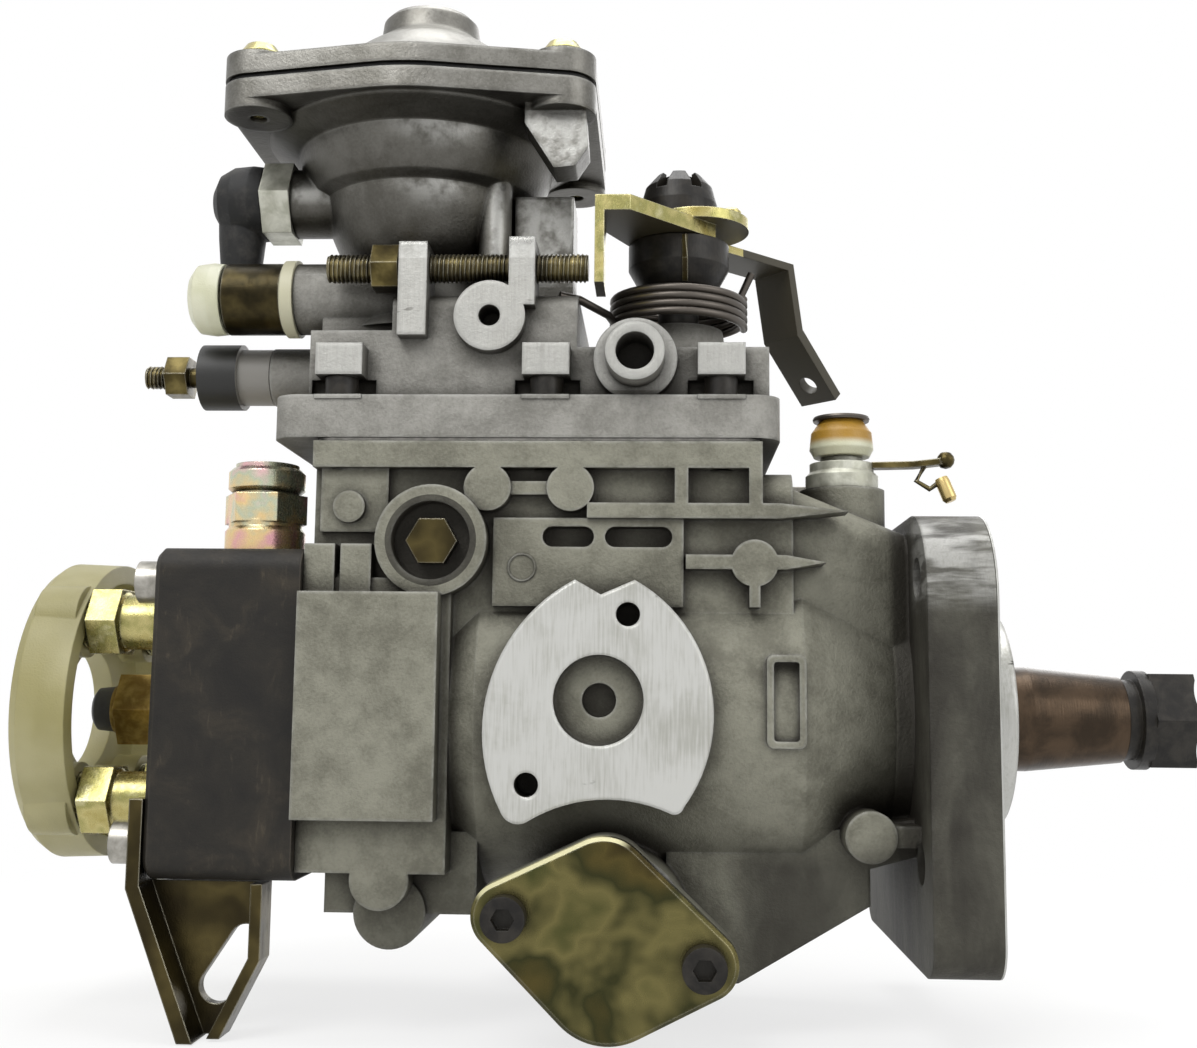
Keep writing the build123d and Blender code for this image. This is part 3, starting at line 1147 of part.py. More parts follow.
with BuildPart() as boost_screws:
    for lug_x, lug_y in boost_lugs:
        screw_seat = boost_lug_top + 0.1
        rod_z(boost_lug_bottom + 1, screw_seat + 0.1, 2.0, boost_x + lug_x, lug_y)
        turned_z([(0, screw_seat), (5.0, screw_seat), (5.2, screw_seat + 1.5), (3.6, screw_seat + 3.8),
                  (0, screw_seat + 4.2)], boost_x + lug_x, lug_y)
        block((boost_x + lug_x - 5, boost_x + lug_x + 5), (lug_y - 0.5, lug_y + 0.5),
              (screw_seat + 3.0, screw_seat + 5), mode=Mode.SUBTRACT)
    # adjusting screw in the crown of the cap
    rod_z(170.5, boost_top + 0.2, 3.0, boost_x)
    hex_prism(Plane(origin=(boost_x, 0, boost_top + 0.1)), 8.0, 2.2)
finish_part(boost_screws, "boost_screws")

hose_x = -178.2
hose_bore = 4.0
with BuildPart() as boost_fitting:
    rod_x(-164.5, -154.2, boost_port_radius, full_load_y, boost_port_z)
    hex_prism(Plane(origin=(-171.7, full_load_y, boost_port_z), x_dir=(0, 1, 0), z_dir=(1, 0, 0)), 18.0, 7.4)
    rod_x(-178.0, -171, 3.6, full_load_y, boost_port_z)
    rod_x(-179, -154, 1.8, full_load_y, boost_port_z, mode=Mode.SUBTRACT)
finish_part(boost_fitting, "boost_fitting")

with BuildPart() as boost_hose:
    turned_x([(-171.8, 0), (-171.8, 9.2), (-175.0, 9.6), (-179.6, 9.2), (-183.0, 7.4), (-185.0, 4.0),
              (-185.4, 0)],
             full_load_y, boost_port_z)
    turned_z([(0, 109.5), (5.0, 109.5), (5.8, 118.0), (6.2, 126.0), (0, 126.0)], hose_x, full_load_y)
    rod_x(-178.2, -171, 3.6 + FIT, full_load_y, boost_port_z, mode=Mode.SUBTRACT)
    rod_z(109, 118, hose_bore, hose_x, full_load_y, mode=Mode.SUBTRACT)
finish_part(boost_hose, "boost_hose")

# ================================================================ throttle and adjusting screws
with BuildPart() as throttle_shaft:
    rod_z(77.4, 79.6, 8.0, throttle_x, throttle_y)
    rod_z(79.5, 112, throttle_radius, throttle_x, throttle_y)
    rod_z(71.8, 78, 2.2, throttle_x - 5.6, throttle_y)
    # spacer under the lever
    turned_z([(0, 104.6), (9.5, 104.6), (12.5, 110.0), (12.5, 115.9), (0, 115.9)], throttle_x, throttle_y)
    rod_z(115, 133.6, stud_radius, throttle_x, throttle_y)
finish_part(throttle_shaft, "throttle_shaft")

with BuildPart() as throttle_nut:
    nut_seat = throttle_disc_z + plate_thickness + 0.1
    turned_z([(stud_radius + FIT, nut_seat), (9.6, nut_seat), (9.6, 126.6), (8.4, 131.0), (5.6, 134.2),
              (stud_radius + FIT, 134.2)],
             throttle_x, throttle_y)
    for index in range(3):
        with Locations(Location((throttle_x, throttle_y, 131.9), (0, 0, 60.0 * index))):
            Box(22, 2.8, 5.0, mode=Mode.SUBTRACT)
finish_part(throttle_nut, "throttle_nut")

with BuildPart() as throttle_lever:
    # round plate, set a little off the shaft
    with BuildSketch(Plane.XY.offset(throttle_disc_z)) as plate_sketch:
        with Locations((throttle_x + 4.5, throttle_y)):
            Circle(13.0)
    extrude(amount=plate_thickness)
    # bracket towards the stop screw, with its upright leg
    bracket_z = throttle_disc_z - 3.6
    with BuildSketch(Plane.XY.offset(bracket_z)) as bracket_sketch:
        with BuildLine():
            Polyline((throttle_x + 9, throttle_y - 7), (throttle_x + 9, throttle_y + 8),
                     (throttle_x - 8, throttle_y + 8),
                     (-87.2, -21.0), (-87.2, -33.5), (-79.0, -33.5), close=True)
        make_face()
    extrude(amount=throttle_disc_z - bracket_z + 0.1)
    block((-87.2, -85.0), (-33.5, -21.0), (99.0, bracket_z + 2.2))
    # arm bent down on the far side, with its eye at the end
    arm_plane = Plane(origin=(throttle_x, throttle_y, 0), x_dir=(cos(arm_turn), sin(arm_turn), 0),
                      z_dir=(sin(arm_turn), -cos(arm_turn), 0))
    with BuildSketch(arm_plane) as arm_sketch:
        with BuildLine():
            upper_edge = [(reach + arm_thickness, height + arm_thickness) for reach,
                          height in reversed(arm_bends)]
            Polyline(*arm_bends, *upper_edge, close=True)
        make_face()
    extrude(amount=arm_width / 2, both=True)
    eye_centre = arm_plane.from_local_coords((arm_eye_reach, arm_eye_z, 0))
    eye_axis = arm_plane.x_dir * sin(arm_slope) + Vector(0, 0, cos(arm_slope))
    with Locations(Plane(origin=eye_centre, z_dir=eye_axis)):
        Cylinder(arm_eye_radius, 6, mode=Mode.SUBTRACT)
    rod_z(bracket_z - 4, throttle_disc_z + 5, stud_radius + FIT, throttle_x, throttle_y, mode=Mode.SUBTRACT)
finish_part(throttle_lever, "throttle_lever")

with BuildPart() as throttle_spring:
    coil_edge = [(coil_radius, throttle_boss_top + 0.2)]
    for coil in range(coil_count):
        coil_z = throttle_boss_top + 0.2 + coil_pitch * coil
        coil_edge.append((coil_radius + coil_wire / 2, coil_z + coil_pitch / 2))
        coil_edge.append((coil_radius, coil_z + coil_pitch))
    for coil in reversed(range(coil_count)):
        coil_z = throttle_boss_top + 0.2 + coil_pitch * coil
        coil_edge.append((coil_radius - coil_wire / 2, coil_z + coil_pitch / 2))
        coil_edge.append((coil_radius - 0.2, coil_z))
    turned_z(coil_edge, throttle_x, throttle_y)
finish_part(throttle_spring, "throttle_spring")

with BuildPart() as adjusting_screws:
    rod_x(-149.7, -88.7, stop_radius, stop_y, stop_z)
    hex_prism(Plane(origin=(-139.0, stop_y, stop_z), x_dir=(0, 1, 0), z_dir=(1, 0, 0)), 10.0, 6.4)
    rod_x(-200.8, -150.0, full_load_radius, full_load_y, full_load_z)
    hex_prism(Plane(origin=(-195.2, full_load_y, full_load_z), x_dir=(0, 1, 0), z_dir=(1, 0, 0)), 9.5, 5.6)
    rod_x(-186.3, -168.2, 4.5, full_load_y, full_load_z)
    rod_x(-186.0, -176.2, 8.2, full_load_y, full_load_z)
    rod_x(-176.3, -168.2, 7.0, full_load_y, full_load_z)
finish_part(adjusting_screws, "adjusting_screws")
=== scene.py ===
from math import cos, pi, radians, sin

import bmesh
import bpy
from bpy.props import FloatProperty, FloatVectorProperty, IntProperty, PointerProperty
from mathutils import Matrix, Vector


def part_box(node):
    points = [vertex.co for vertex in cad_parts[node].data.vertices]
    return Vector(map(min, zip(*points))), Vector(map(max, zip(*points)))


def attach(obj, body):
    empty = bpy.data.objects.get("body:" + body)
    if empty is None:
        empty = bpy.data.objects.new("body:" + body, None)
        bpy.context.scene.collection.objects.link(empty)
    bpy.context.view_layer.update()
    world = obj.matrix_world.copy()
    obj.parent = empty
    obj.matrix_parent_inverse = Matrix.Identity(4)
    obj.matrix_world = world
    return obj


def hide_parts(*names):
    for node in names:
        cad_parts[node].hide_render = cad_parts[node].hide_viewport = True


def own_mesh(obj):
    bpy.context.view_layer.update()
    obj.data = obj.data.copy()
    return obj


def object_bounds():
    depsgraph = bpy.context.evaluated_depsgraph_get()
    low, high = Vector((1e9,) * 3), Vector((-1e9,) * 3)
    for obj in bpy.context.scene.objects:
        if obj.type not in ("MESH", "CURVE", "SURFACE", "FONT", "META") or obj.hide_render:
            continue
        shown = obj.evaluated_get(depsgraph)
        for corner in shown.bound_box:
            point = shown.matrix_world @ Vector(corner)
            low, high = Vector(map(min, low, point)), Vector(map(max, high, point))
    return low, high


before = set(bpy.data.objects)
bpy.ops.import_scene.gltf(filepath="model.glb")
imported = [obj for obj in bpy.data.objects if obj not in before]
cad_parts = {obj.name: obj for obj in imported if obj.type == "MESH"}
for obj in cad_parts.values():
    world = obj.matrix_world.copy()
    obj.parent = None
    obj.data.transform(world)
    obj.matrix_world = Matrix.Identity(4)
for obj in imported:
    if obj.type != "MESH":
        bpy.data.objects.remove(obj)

bl_info = {
    "name": "Diesel injection pump",
    "version": (1, 0, 0),
    "blender": (4, 5, 0),
    "location": "View3D > Sidebar > Pump",
    "description": "Finishes and fine pieces of a distributor-type diesel injection pump",
    "category": "Object",
}

MM = 0.001
CAD_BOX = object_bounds()

# places on the pump, in millimetres; an axis along X is given by (y, z), one along Y by (x, z),
# one along Z by (x, y)
STOP_SCREW_AXIS = (-30.0, 103.2)
FULL_LOAD_AXIS = (-5.0, 82.8)
LOCKING_CAP_X = (-186.4, -176.28)
LOCKING_BOSS_X = (-176.28, -168.0)
PIVOT_AXIS = (-122.6, 38.3)
INLET_AXIS = (-28.4, -12.0)
INLET_CAP_TOP = 70.9
PANEL_RING_PLACE = (-102.5, -36.5, 32.6)
LEVER_PIN_PLACE = (-54.5, -9.0, 122.3)
OUTLET_REACH = 20.5
BALL_PLACE = (-4.6, -16.8, 60.4)
TAG_PLACE = (-5.9, -17.6, 56.0)
TAG_LEAN = (0.35, -0.1, -0.93)

# limits of what is machined, polished or coated, in millimetres
PAD_X = (-112, -57)
PAD_Y = -45.5
FLANGE_RIM_X = (-15.2, -0.6)
COVER_FACE_Y = -35.8
COVER_FACE_Z = (73, 118)
# BOWL_Z also bounds the painted highlight on the bowl.
BOWL_Z = (104, 141)
CROWN_Z = 177

# threads, in millimetres: core radius, and where each run starts and how long it is
STOP_THREAD_RADIUS = 3.0
STOP_THREAD_RUNS = ((-149.4, 10.0), (-132.5, 43.4))
FULL_LOAD_THREAD_RADIUS = 2.5
FULL_LOAD_THREAD_RUNS = ((-200.6, 5.0),)
OUTLET_THREAD_RADIUS = 6.0
OUTLET_THREAD_RUN = (-204.3, 7.0)

TOWARD_FRONT = (0, -1, 0)
STRAIGHT = 0.97  # how far a face looks in a direction to count as square to it
WORN_ZINC = (0.66, 0.63, 0.50)
RUBBED_STEEL = (0.16, 0.14, 0.11)
BROWN_STREAK = (0.07, 0.056, 0.038)
MERGE_DISTANCE = 1e-7  # metres
LIT_POINT = (-80 * MM, 0, 50 * MM)


# ------------------------------------------------------------------ sizes and colours
class StageSettings(bpy.types.PropertyGroup):
    """Camera, floor and light."""

    frame_width: FloatProperty(name="Frame width", description="Width of the picture's frame in pixels",
                               default=1197.0)
    focal_pixels: FloatProperty(name="Focal length", description="Focal length in pixels of that frame",
                                default=1439.0)
    camera_place: FloatVectorProperty(name="Camera place", description="Where the camera stands",
                                      default=(-71 * MM, -355 * MM, 3.3 * MM), unit="LENGTH")
    turn: FloatProperty(name="Turn", description="Camera turned to the left", default=radians(2.6),
                        unit="ROTATION")
    tilt: FloatProperty(name="Tilt", description="Camera tilted up", default=radians(7.0), unit="ROTATION")
    roll: FloatProperty(name="Roll", description="Camera rolled about its own line of sight",
                        default=radians(0.6), unit="ROTATION")
    floor_radius: FloatProperty(name="Floor radius", description="Radius of the floor", default=6.0,
                                unit="LENGTH")
    key_power: FloatProperty(name="Key light", description="Power of the main soft light", default=7.5,
                             unit="POWER")
    world_level: FloatProperty(name="Surroundings", description="Level of the light all round", default=0.32)


class FinishSettings(bpy.types.PropertyGroup):
    """Colours and grain of the metals."""

    cast_light: FloatVectorProperty(name="Casting, light", description="Clean sand-cast aluminium",
                                    default=(0.236, 0.232, 0.184), subtype="COLOR")
    cast_dark: FloatVectorProperty(name="Casting, dark", description="Stained sand-cast aluminium",
                                   default=(0.124, 0.120, 0.092), subtype="COLOR")
    cover_light: FloatVectorProperty(name="Cover, light", description="Clean die-cast aluminium",
                                     default=(0.30, 0.293, 0.268), subtype="COLOR")
    cover_dark: FloatVectorProperty(name="Cover, dark", description="Dull die-cast aluminium",
                                    default=(0.165, 0.160, 0.142), subtype="COLOR")
    # Also the colour of the painted highlights on the bowl and the flange rim.
    milled: FloatVectorProperty(name="Milled face", description="Freshly machined aluminium",
                                default=(0.54, 0.54, 0.515), subtype="COLOR")
    # Also the colour of the painted shade low on the housing.
    oil_and_shade: FloatVectorProperty(name="Oil", description="Oil baked on the mounting flange",
                             default=(0.018, 0.0155, 0.011), subtype="COLOR")
    # Colour of soot in dark nicks, and also of the painted shade in corners and on the boost unit's undersides.
    soot_and_shade: FloatVectorProperty(name="Soot", description="Oil and soot in the corners",
                              default=(0.018, 0.015, 0.010), subtype="COLOR")
    steel: FloatVectorProperty(name="Steel", description="Turned steel", default=(0.46, 0.44, 0.40),
                               subtype="COLOR")
    grain_size: FloatProperty(name="Grain", description="Size of the casting's grain", default=0.7 * MM,
                              unit="LENGTH")
    edge_radius: FloatProperty(name="Edge radius", description="Rounding of the castings' edges",
                               default=1.3 * MM, unit="LENGTH")


class FittingSettings(bpy.types.PropertyGroup):
    """Threads, springs and small fittings."""

    thread_pitch: FloatProperty(name="Thread pitch", description="Pitch of the fine threads", default=1.0 * MM,
                                unit="LENGTH")
    thread_height: FloatProperty(name="Thread height", description="Height of a thread over its core",
                                 default=0.35 * MM, unit="LENGTH")
    spring_wire: FloatProperty(name="Spring wire", description="Thickness of the return spring's wire",
                               default=2.0 * MM, unit="LENGTH")
    spring_turns: FloatProperty(name="Spring turns", description="Turns of the return spring", default=4.0)
    coil_steps: IntProperty(name="Coil steps", description="Points in one turn of a coil", default=40)


# ------------------------------------------------------------------ nodes
class Value:
    """A socket that takes part in plain arithmetic."""

    def __init__(self, tree, socket):
        self.tree = tree
        self.socket = socket

    def also(self, output):
        """Another output of the same node."""
        return Value(self.tree, self.socket.node.outputs[output])

    def _math(self, operation, *terms):
        return self.tree.node("ShaderNodeMath", {"operation": operation}, dict(enumerate(terms)))

    def __add__(self, other):
        return self._math("ADD", self, other)

    def __radd__(self, other):
        return self._math("ADD", other, self)

    def __sub__(self, other):
        return self._math("SUBTRACT", self, other)

    def __rsub__(self, other):
        return self._math("SUBTRACT", other, self)

    def __mul__(self, other):
        return self._math("MULTIPLY", self, other)

    def __rmul__(self, other):
        return self._math("MULTIPLY", other, self)

    def __pow__(self, other):
        return self._math("POWER", self, other)

    def __gt__(self, other):
        return self._math("GREATER_THAN", self, other)

    def __lt__(self, other):
        return self._math("LESS_THAN", self, other)

    def most(self, other):
        """The larger of the two."""
        return self._math("MAXIMUM", self, other)


class Tree:
    """A node tree, written through one method."""

    def __init__(self, tree):
        self.tree = tree
        tree.nodes.clear()

    def node(self, kind, settings=None, values=None, output=0):
        """Adds a node: its settings first, then the values or links of its sockets."""
        made = self.tree.nodes.new(kind)
        for name, value in (settings or {}).items():
            setattr(made, name, value)
        for key, value in (values or {}).items():
            self.put(made.inputs[key], value)
        return Value(self, made.outputs[output]) if made.outputs else None

    def put(self, socket, value):
        """Links or sets one socket."""
        if isinstance(value, Value):
            self.tree.links.new(value.socket, socket)
        elif socket.type == "RGBA" and len(value) == 3:
            socket.default_value = (*value, 1.0)
        else:
            socket.default_value = value


def seen_plainly(tree):
    """1 to the camera, in reflections and through clear matter, 0 for all other light."""
    ray = tree.node("ShaderNodeLightPath", output="Is Camera Ray")
    return ray.most(ray.also("Is Glossy Ray")).most(ray.also("Is Transmission Ray"))


class Surface(Tree):
    """One material: its Principled shader and the nodes that feed it."""

    def __init__(self, name, **constants):
        self.material = bpy.data.materials.new(name)
        self.material.use_nodes = True
        super().__init__(self.material.node_tree)
        self.shader = self.node("ShaderNodeBsdfPrincipled", None, {
            socket.replace("_", " ").title().replace("Ior", "IOR"): value
            for socket, value in constants.items()})
        self.place = self.node("ShaderNodeTexCoord", output="Object")
        self.x = self.node("ShaderNodeSeparateXYZ", None, {0: self.place})
        self.y, self.z = self.x.also("Y"), self.x.also("Z")

    def noise(self, size, detail=3.0, rough=0.55, twist=0.0, place=None):
        """Noise from 0 to 1 whose blobs are about that size, in metres."""
        return self.node("ShaderNodeTexNoise", None, {
            "Vector": place or self.place, "Scale": 1.0 / size, "Detail": detail, "Roughness": rough,
            "Distortion": twist})

    def stretched(self, x=1.0, y=1.0, z=1.0):
        """Object coordinates drawn out along an axis, for streaks and brushed lines."""
        return self.node("ShaderNodeMapping", {"vector_type": "POINT"},
                         {"Vector": self.place, "Scale": (x, y, z)})

    def fade(self, value, low, high, start=0.0, end=1.0):
        """A smooth step from start to end as the value goes from low to high."""
        return self.node("ShaderNodeMapRange", {"interpolation_type": "SMOOTHSTEP"},
                         {0: value, 1: low, 2: high, 3: start, 4: end})

    def within(self, value, low, high):
        """1 between two limits given in millimetres."""
        return (value > low * MM) * (value < high * MM)

    def mix(self, first, second, factor):
        """A colour between two others."""
        return self.node("ShaderNodeMix", {"data_type": "RGBA"}, {0: factor, 6: first, 7: second}, output=2)

    def between(self, first, second, factor):
        """A number between two others."""
        return first + (second - first) * factor

    def ramp(self, value, *stops):
        """A colour from a list of (position, colour)."""
        shade = self.node("ShaderNodeValToRGB", None, {0: value})
        elements = shade.socket.node.color_ramp.elements
        while len(elements) < len(stops):
            elements.new(1.0)
        for element, (position, colour) in zip(elements, stops):
            element.position = position
            element.color = (*colour, 1.0)
        return shade

    def along(self, direction):
        """How far the surface looks in that direction, from -1 to 1."""
        normal = self.node("ShaderNodeNewGeometry", output="Normal")
        return self.node("ShaderNodeVectorMath", {"operation": "DOT_PRODUCT"}, {0: normal, 1: direction},
                         output=1)

    def cavity(self, reach):
        """1 in the open and 0 deep in a corner."""
        return self.node("ShaderNodeAmbientOcclusion", {"samples": 6}, {"Distance": reach}, output="AO")

    def shade_in_corners(self, colour, soot_and_shade, cavity, low, high, start):
        """The colour, darkened towards the soot colour as painted shade where the cavity is near low."""
        return self.mix(soot_and_shade, colour, self.fade(cavity, low, high, start=start, end=1.0))

    def soft_normal(self, radius):
        """The normal with its edges rounded."""
        return self.node("ShaderNodeBevel", {"samples": 4}, {"Radius": radius})

    def edge(self, radius):
        """1 along edges, from how far a rounded normal leans away from the face."""
        return self.fade(self.along(self.soft_normal(radius)), 0.98, 0.80)

    def around(self, a, b, axis=(0.0, 0.0)):
        """Distance from an axis, from the two coordinates across it."""
        return ((a - axis[0] * MM) ** 2.0 + (b - axis[1] * MM) ** 2.0) ** 0.5

    def show(self, shader):
        """Makes that shader the one that is seen."""
        self.node("ShaderNodeOutputMaterial", None, {"Surface": shader})
        return self.material

    def finish(self, colour=None, roughness=None, metallic=None, height=None, depth=0.0001, radius=None):
        """Links what varies over the surface to the shader."""
        normal = self.soft_normal(radius) if radius else None
        if height is not None:
            values = {"Height": height, "Distance": depth, "Strength": 1.0}
            if normal is not None:
                values["Normal"] = normal
            normal = self.node("ShaderNodeBump", None, values)
        links = {"Base Color": colour, "Roughness": roughness, "Metallic": metallic, "Normal": normal}
        for socket, value in links.items():
            if value is not None:
                self.put(self.shader.socket.node.inputs[socket], value)
        return self.show(self.shader)


# ------------------------------------------------------------------ finishes
def cast_finish(name, light, dark, finish, machined, oily_and_shaded=None, polish=None):
    """Cast aluminium with grain, stains, oil and painted shade in its corners; the last three give places on a
    surface as a mask.
    """
    surface = Surface(name)
    grain = surface.noise(finish.grain_size, detail=3.0, rough=0.7)
    pits = surface.noise(3.2 * finish.grain_size, detail=2.0, rough=0.5)
    stain = surface.noise(19 * MM, detail=5.0, rough=0.62, twist=0.4)
    bloom = surface.noise(5 * MM, detail=3.0, rough=0.6)
    edges = surface.edge(finish.edge_radius)
    # Machined faces; on the housing these take in the flange rim, whose bright streaks are also a painted
    # highlight.
    milled = machined(surface)
    shine = polish(surface) if polish else 0.0
    rough_colour = surface.mix(dark, light, surface.fade(stain * 0.55 + bloom * 0.3 + grain * 0.25, 0.40, 0.68))
    rough_colour = surface.mix(rough_colour, finish.milled,
                               edges * surface.fade(bloom, 0.35, 0.6, start=0.15, end=0.5))
    # Oil on the flange, the darkened pivot recess and painted shade low on the housing, streaked by vertical
    # noise.
    if oily_and_shaded:
        runs = surface.noise(12 * MM, detail=4.0, rough=0.6, twist=0.5, place=surface.stretched(z=0.3))
        streak_strength = surface.fade(runs, 0.3, 0.7, start=1.0, end=0.7)
        rough_colour = surface.mix(rough_colour, finish.oil_and_shade, oily_and_shaded(surface) * streak_strength)
    lines = surface.noise(0.5 * MM, detail=2.0, rough=0.5, place=surface.stretched(z=0.06))
    scrapes = surface.noise(1.6 * MM, detail=2.0, rough=0.5, place=surface.stretched(x=0.25))
    nicks = surface.fade(scrapes, 0.70, 0.74)
    dulled = surface.fade(lines * 0.4 + stain * 0.6, 0.42, 0.70, start=0.0, end=0.55)
    clean = surface.mix(finish.milled, light, dulled)
    clean = surface.mix(clean, finish.soot_and_shade, nicks * surface.fade(stain, 0.5, 0.6) * 0.8)
    colour = surface.mix(rough_colour, clean, milled)
    # Painted shade on the faces that look down, and a painted highlight in the milled colour where the bowl
    # faces the front.
    if polish:
        underside_shade_fade = surface.fade(surface.along((0, -0.35, 1)), -0.45, 0.75, start=0.28, end=0.80)
        colour = surface.mix(colour, finish.soot_and_shade, shine * (1.0 - underside_shade_fade))
        glint = surface.fade(surface.along((0.22, -0.97, 0.1)), 0.86, 0.99, start=0.0, end=0.6)
        glint = glint * surface.fade(bloom, 0.3, 0.6)
        colour = surface.mix(colour, finish.milled, glint * surface.within(surface.z, *BOWL_Z))
    # Painted shade in corners and recesses: ambient occlusion over a short and a long reach darkens the colour
    # towards the soot colour.
    near_corner = surface.cavity(6 * MM) + grain * 0.14
    colour = surface.shade_in_corners(colour, finish.soot_and_shade, near_corner, 0.36, 1.04, 0.03)
    colour = surface.shade_in_corners(colour, finish.soot_and_shade, surface.cavity(26 * MM), 0.08, 0.80, 0.18)
    rough = surface.between(0.50 + grain * 0.2, 0.26 + lines * 0.16, milled) - 0.20 * shine
    metallic = surface.between(0.42 + 0.48 * shine, 0.62, milled)
    height = (grain * 0.75 + pits * 0.5) * (1.0 - milled * 0.94) * (1.0 - 0.55 * shine) + lines * milled * 0.05
    return surface.finish(colour, rough, metallic=metallic, height=height, depth=0.26 * MM,
                          radius=finish.edge_radius)


def housing_machined_and_highlight(surface):
    """Pad, flange rim and front faces of the housing; the flange rim's bright streaks are also a painted
    highlight.
    """
    near = surface.along(TOWARD_FRONT) > STRAIGHT
    pad = near * (surface.y < PAD_Y * MM) * surface.within(surface.x, *PAD_X)
    nose = surface.x > -0.4 * MM
    # Milled band at the top of the flange, whose bright streaks, fading out lower down, are also a painted
    # highlight.
    rim = surface.fade(surface.z, 22 * MM, 29 * MM) * surface.fade(surface.z, 46 * MM, 42 * MM)
    rim = rim * surface.within(surface.x, *FLANGE_RIM_X) * surface.fade(surface.y, -24 * MM, -34 * MM)
    streaks = surface.noise(5 * MM, detail=3.0, rough=0.6, twist=0.3,
                            place=surface.stretched(x=0.3, y=0.3, z=1.6))
    rim = rim * surface.fade(streaks, 0.36, 0.60, start=0.06, end=0.48)
    return pad.most(nose).most(rim)


def housing_oil_and_shade(surface):
    """Oil on the mounting flange, the darkened pivot recess, and painted shade on the underside and the lower
    web.
    """
    flange = surface.fade(surface.x, -20 * MM, -18 * MM)
    pivot = (surface.around(surface.x, surface.z, PIVOT_AXIS) < 10.2 * MM) * (surface.y < -30 * MM)
    # Painted shade: darker towards the bottom, and on the lower web at the flange end.
    underside_shade_fade = surface.fade(surface.z, -28 * MM, -60 * MM, start=0.0, end=0.75)
    web = surface.fade(surface.z, -23 * MM, -34 * MM, start=0.0, end=0.85)
    web = web * surface.fade(surface.x, -60 * MM, -50 * MM)
    return flange.most(pivot).most(underside_shade_fade).most(web)


def cover_machined(surface):
    """Screw columns and bosses of the cover, where they are faced off."""
    near = surface.along(TOWARD_FRONT) > STRAIGHT
    return near * (surface.y < COVER_FACE_Y * MM) * surface.within(surface.z, *COVER_FACE_Z) * 0.5


def bowl_polish(surface):
    """The boost unit is smoother than the cover under it; there its downward faces get painted shade and the
    bowl a painted highlight.
    """
    return surface.fade(surface.z, BOWL_Z[0] * MM, (BOWL_Z[0] + 4) * MM)


def cap_machined(surface):
    """Crown of the cap."""
    return (surface.along((0, 0, 1)) > STRAIGHT) * (surface.z > CROWN_Z * MM)


def plated_finish(name, stops, spread, roughness, finish, special=()):
    """Zinc with a chromate film, whose colours drift over the surface, with painted shade in its corners;
    special recolours some places, among them a painted highlight and painted shade.
    """
    surface = Surface(name)
    metallic = 0.9
    drift = surface.noise(spread, detail=3.0, rough=0.5, twist=0.15)
    fine = surface.noise(0.35 * MM, detail=2.0, rough=0.6)
    scuffs = surface.noise(2.4 * MM, detail=4.0, rough=0.7, place=surface.stretched(z=0.35))
    colour = surface.ramp(drift, *stops)
    colour = surface.mix(colour, WORN_ZINC, surface.edge(0.5 * MM) * 0.5)
    # Painted shade in corners.
    colour = surface.shade_in_corners(colour, finish.soot_and_shade, surface.cavity(4 * MM), 0.2, 0.95, 0.12)
    rough = roughness + fine * 0.12 + surface.fade(scuffs, 0.5, 0.7, start=0.0, end=0.14)
    for place, other in special:
        place = place(surface)
        colour = surface.mix(colour, other, place)
        rough = surface.between(rough, 0.5, place)
        metallic = surface.between(metallic, 0.0, place)
    return surface.finish(colour, rough, metallic=metallic, height=fine * 0.5 + scuffs * 0.6, depth=0.06 * MM,
                          radius=0.4 * MM)


def metal_finish(name, light, dark, roughness, spread, finish, metallic=0.9, sheen=0.5):
    """Plain metal, turned or drawn, with handling marks and painted shade in its corners."""
    surface = Surface(name, metallic=metallic, specular_ior_level=sheen)
    marks = surface.noise(spread, detail=4.0, rough=0.6, twist=0.3)
    lines = surface.noise(0.4 * MM, detail=2.0, rough=0.6, place=surface.stretched(y=0.12, z=0.12))
    colour = surface.mix(dark, light, surface.fade(marks, 0.35, 0.68))
    # Painted shade in corners.
    colour = surface.shade_in_corners(colour, finish.soot_and_shade, surface.cavity(4 * MM), 0.2, 0.95, 0.2)
    return surface.finish(colour, roughness + lines * 0.16, height=lines * 0.7 + marks * 0.3, depth=0.05 * MM,
                          radius=0.4 * MM)


def black_finish(name):
    """Phosphated and oiled steel of the head, with brown bloom and handling marks."""
    surface = Surface(name, metallic=0.1, specular_ior_level=0.3)
    bloom = surface.noise(11 * MM, detail=5.0, rough=0.65, twist=0.5)
    grain = surface.noise(0.5 * MM, detail=3.0, rough=0.6)
    scratches = surface.noise(1.4 * MM, detail=3.0, rough=0.6, twist=0.6, place=surface.stretched(z=0.22))
    colour = surface.ramp(bloom, (0.30, (0.008, 0.007, 0.006)), (0.52, (0.015, 0.013, 0.010)),
                          (0.78, (0.036, 0.029, 0.020)))
    streaks = surface.fade(scratches * 0.6 + bloom * 0.4, 0.57, 0.70, start=0.0, end=0.5)
    colour = surface.mix(colour, BROWN_STREAK, streaks)
    colour = surface.mix(colour, RUBBED_STEEL, surface.edge(0.7 * MM) * 0.4)
    return surface.finish(colour, 0.46 + grain * 0.22, height=grain * 0.6 + bloom * 0.5, depth=0.1 * MM,
                          radius=0.7 * MM)


def rubber_finish(name):
    """Matte black rubber with dust."""
    surface = Surface(name, specular_ior_level=0.3)
    dust = surface.noise(4 * MM, detail=4.0, rough=0.6)
    grain = surface.noise(0.3 * MM, detail=2.0, rough=0.5)
    colour = surface.mix((0.009, 0.009, 0.009), (0.035, 0.033, 0.03), surface.fade(dust, 0.45, 0.75))
    return surface.finish(colour, 0.45 + dust * 0.25, height=grain, depth=0.05 * MM, radius=0.6 * MM)


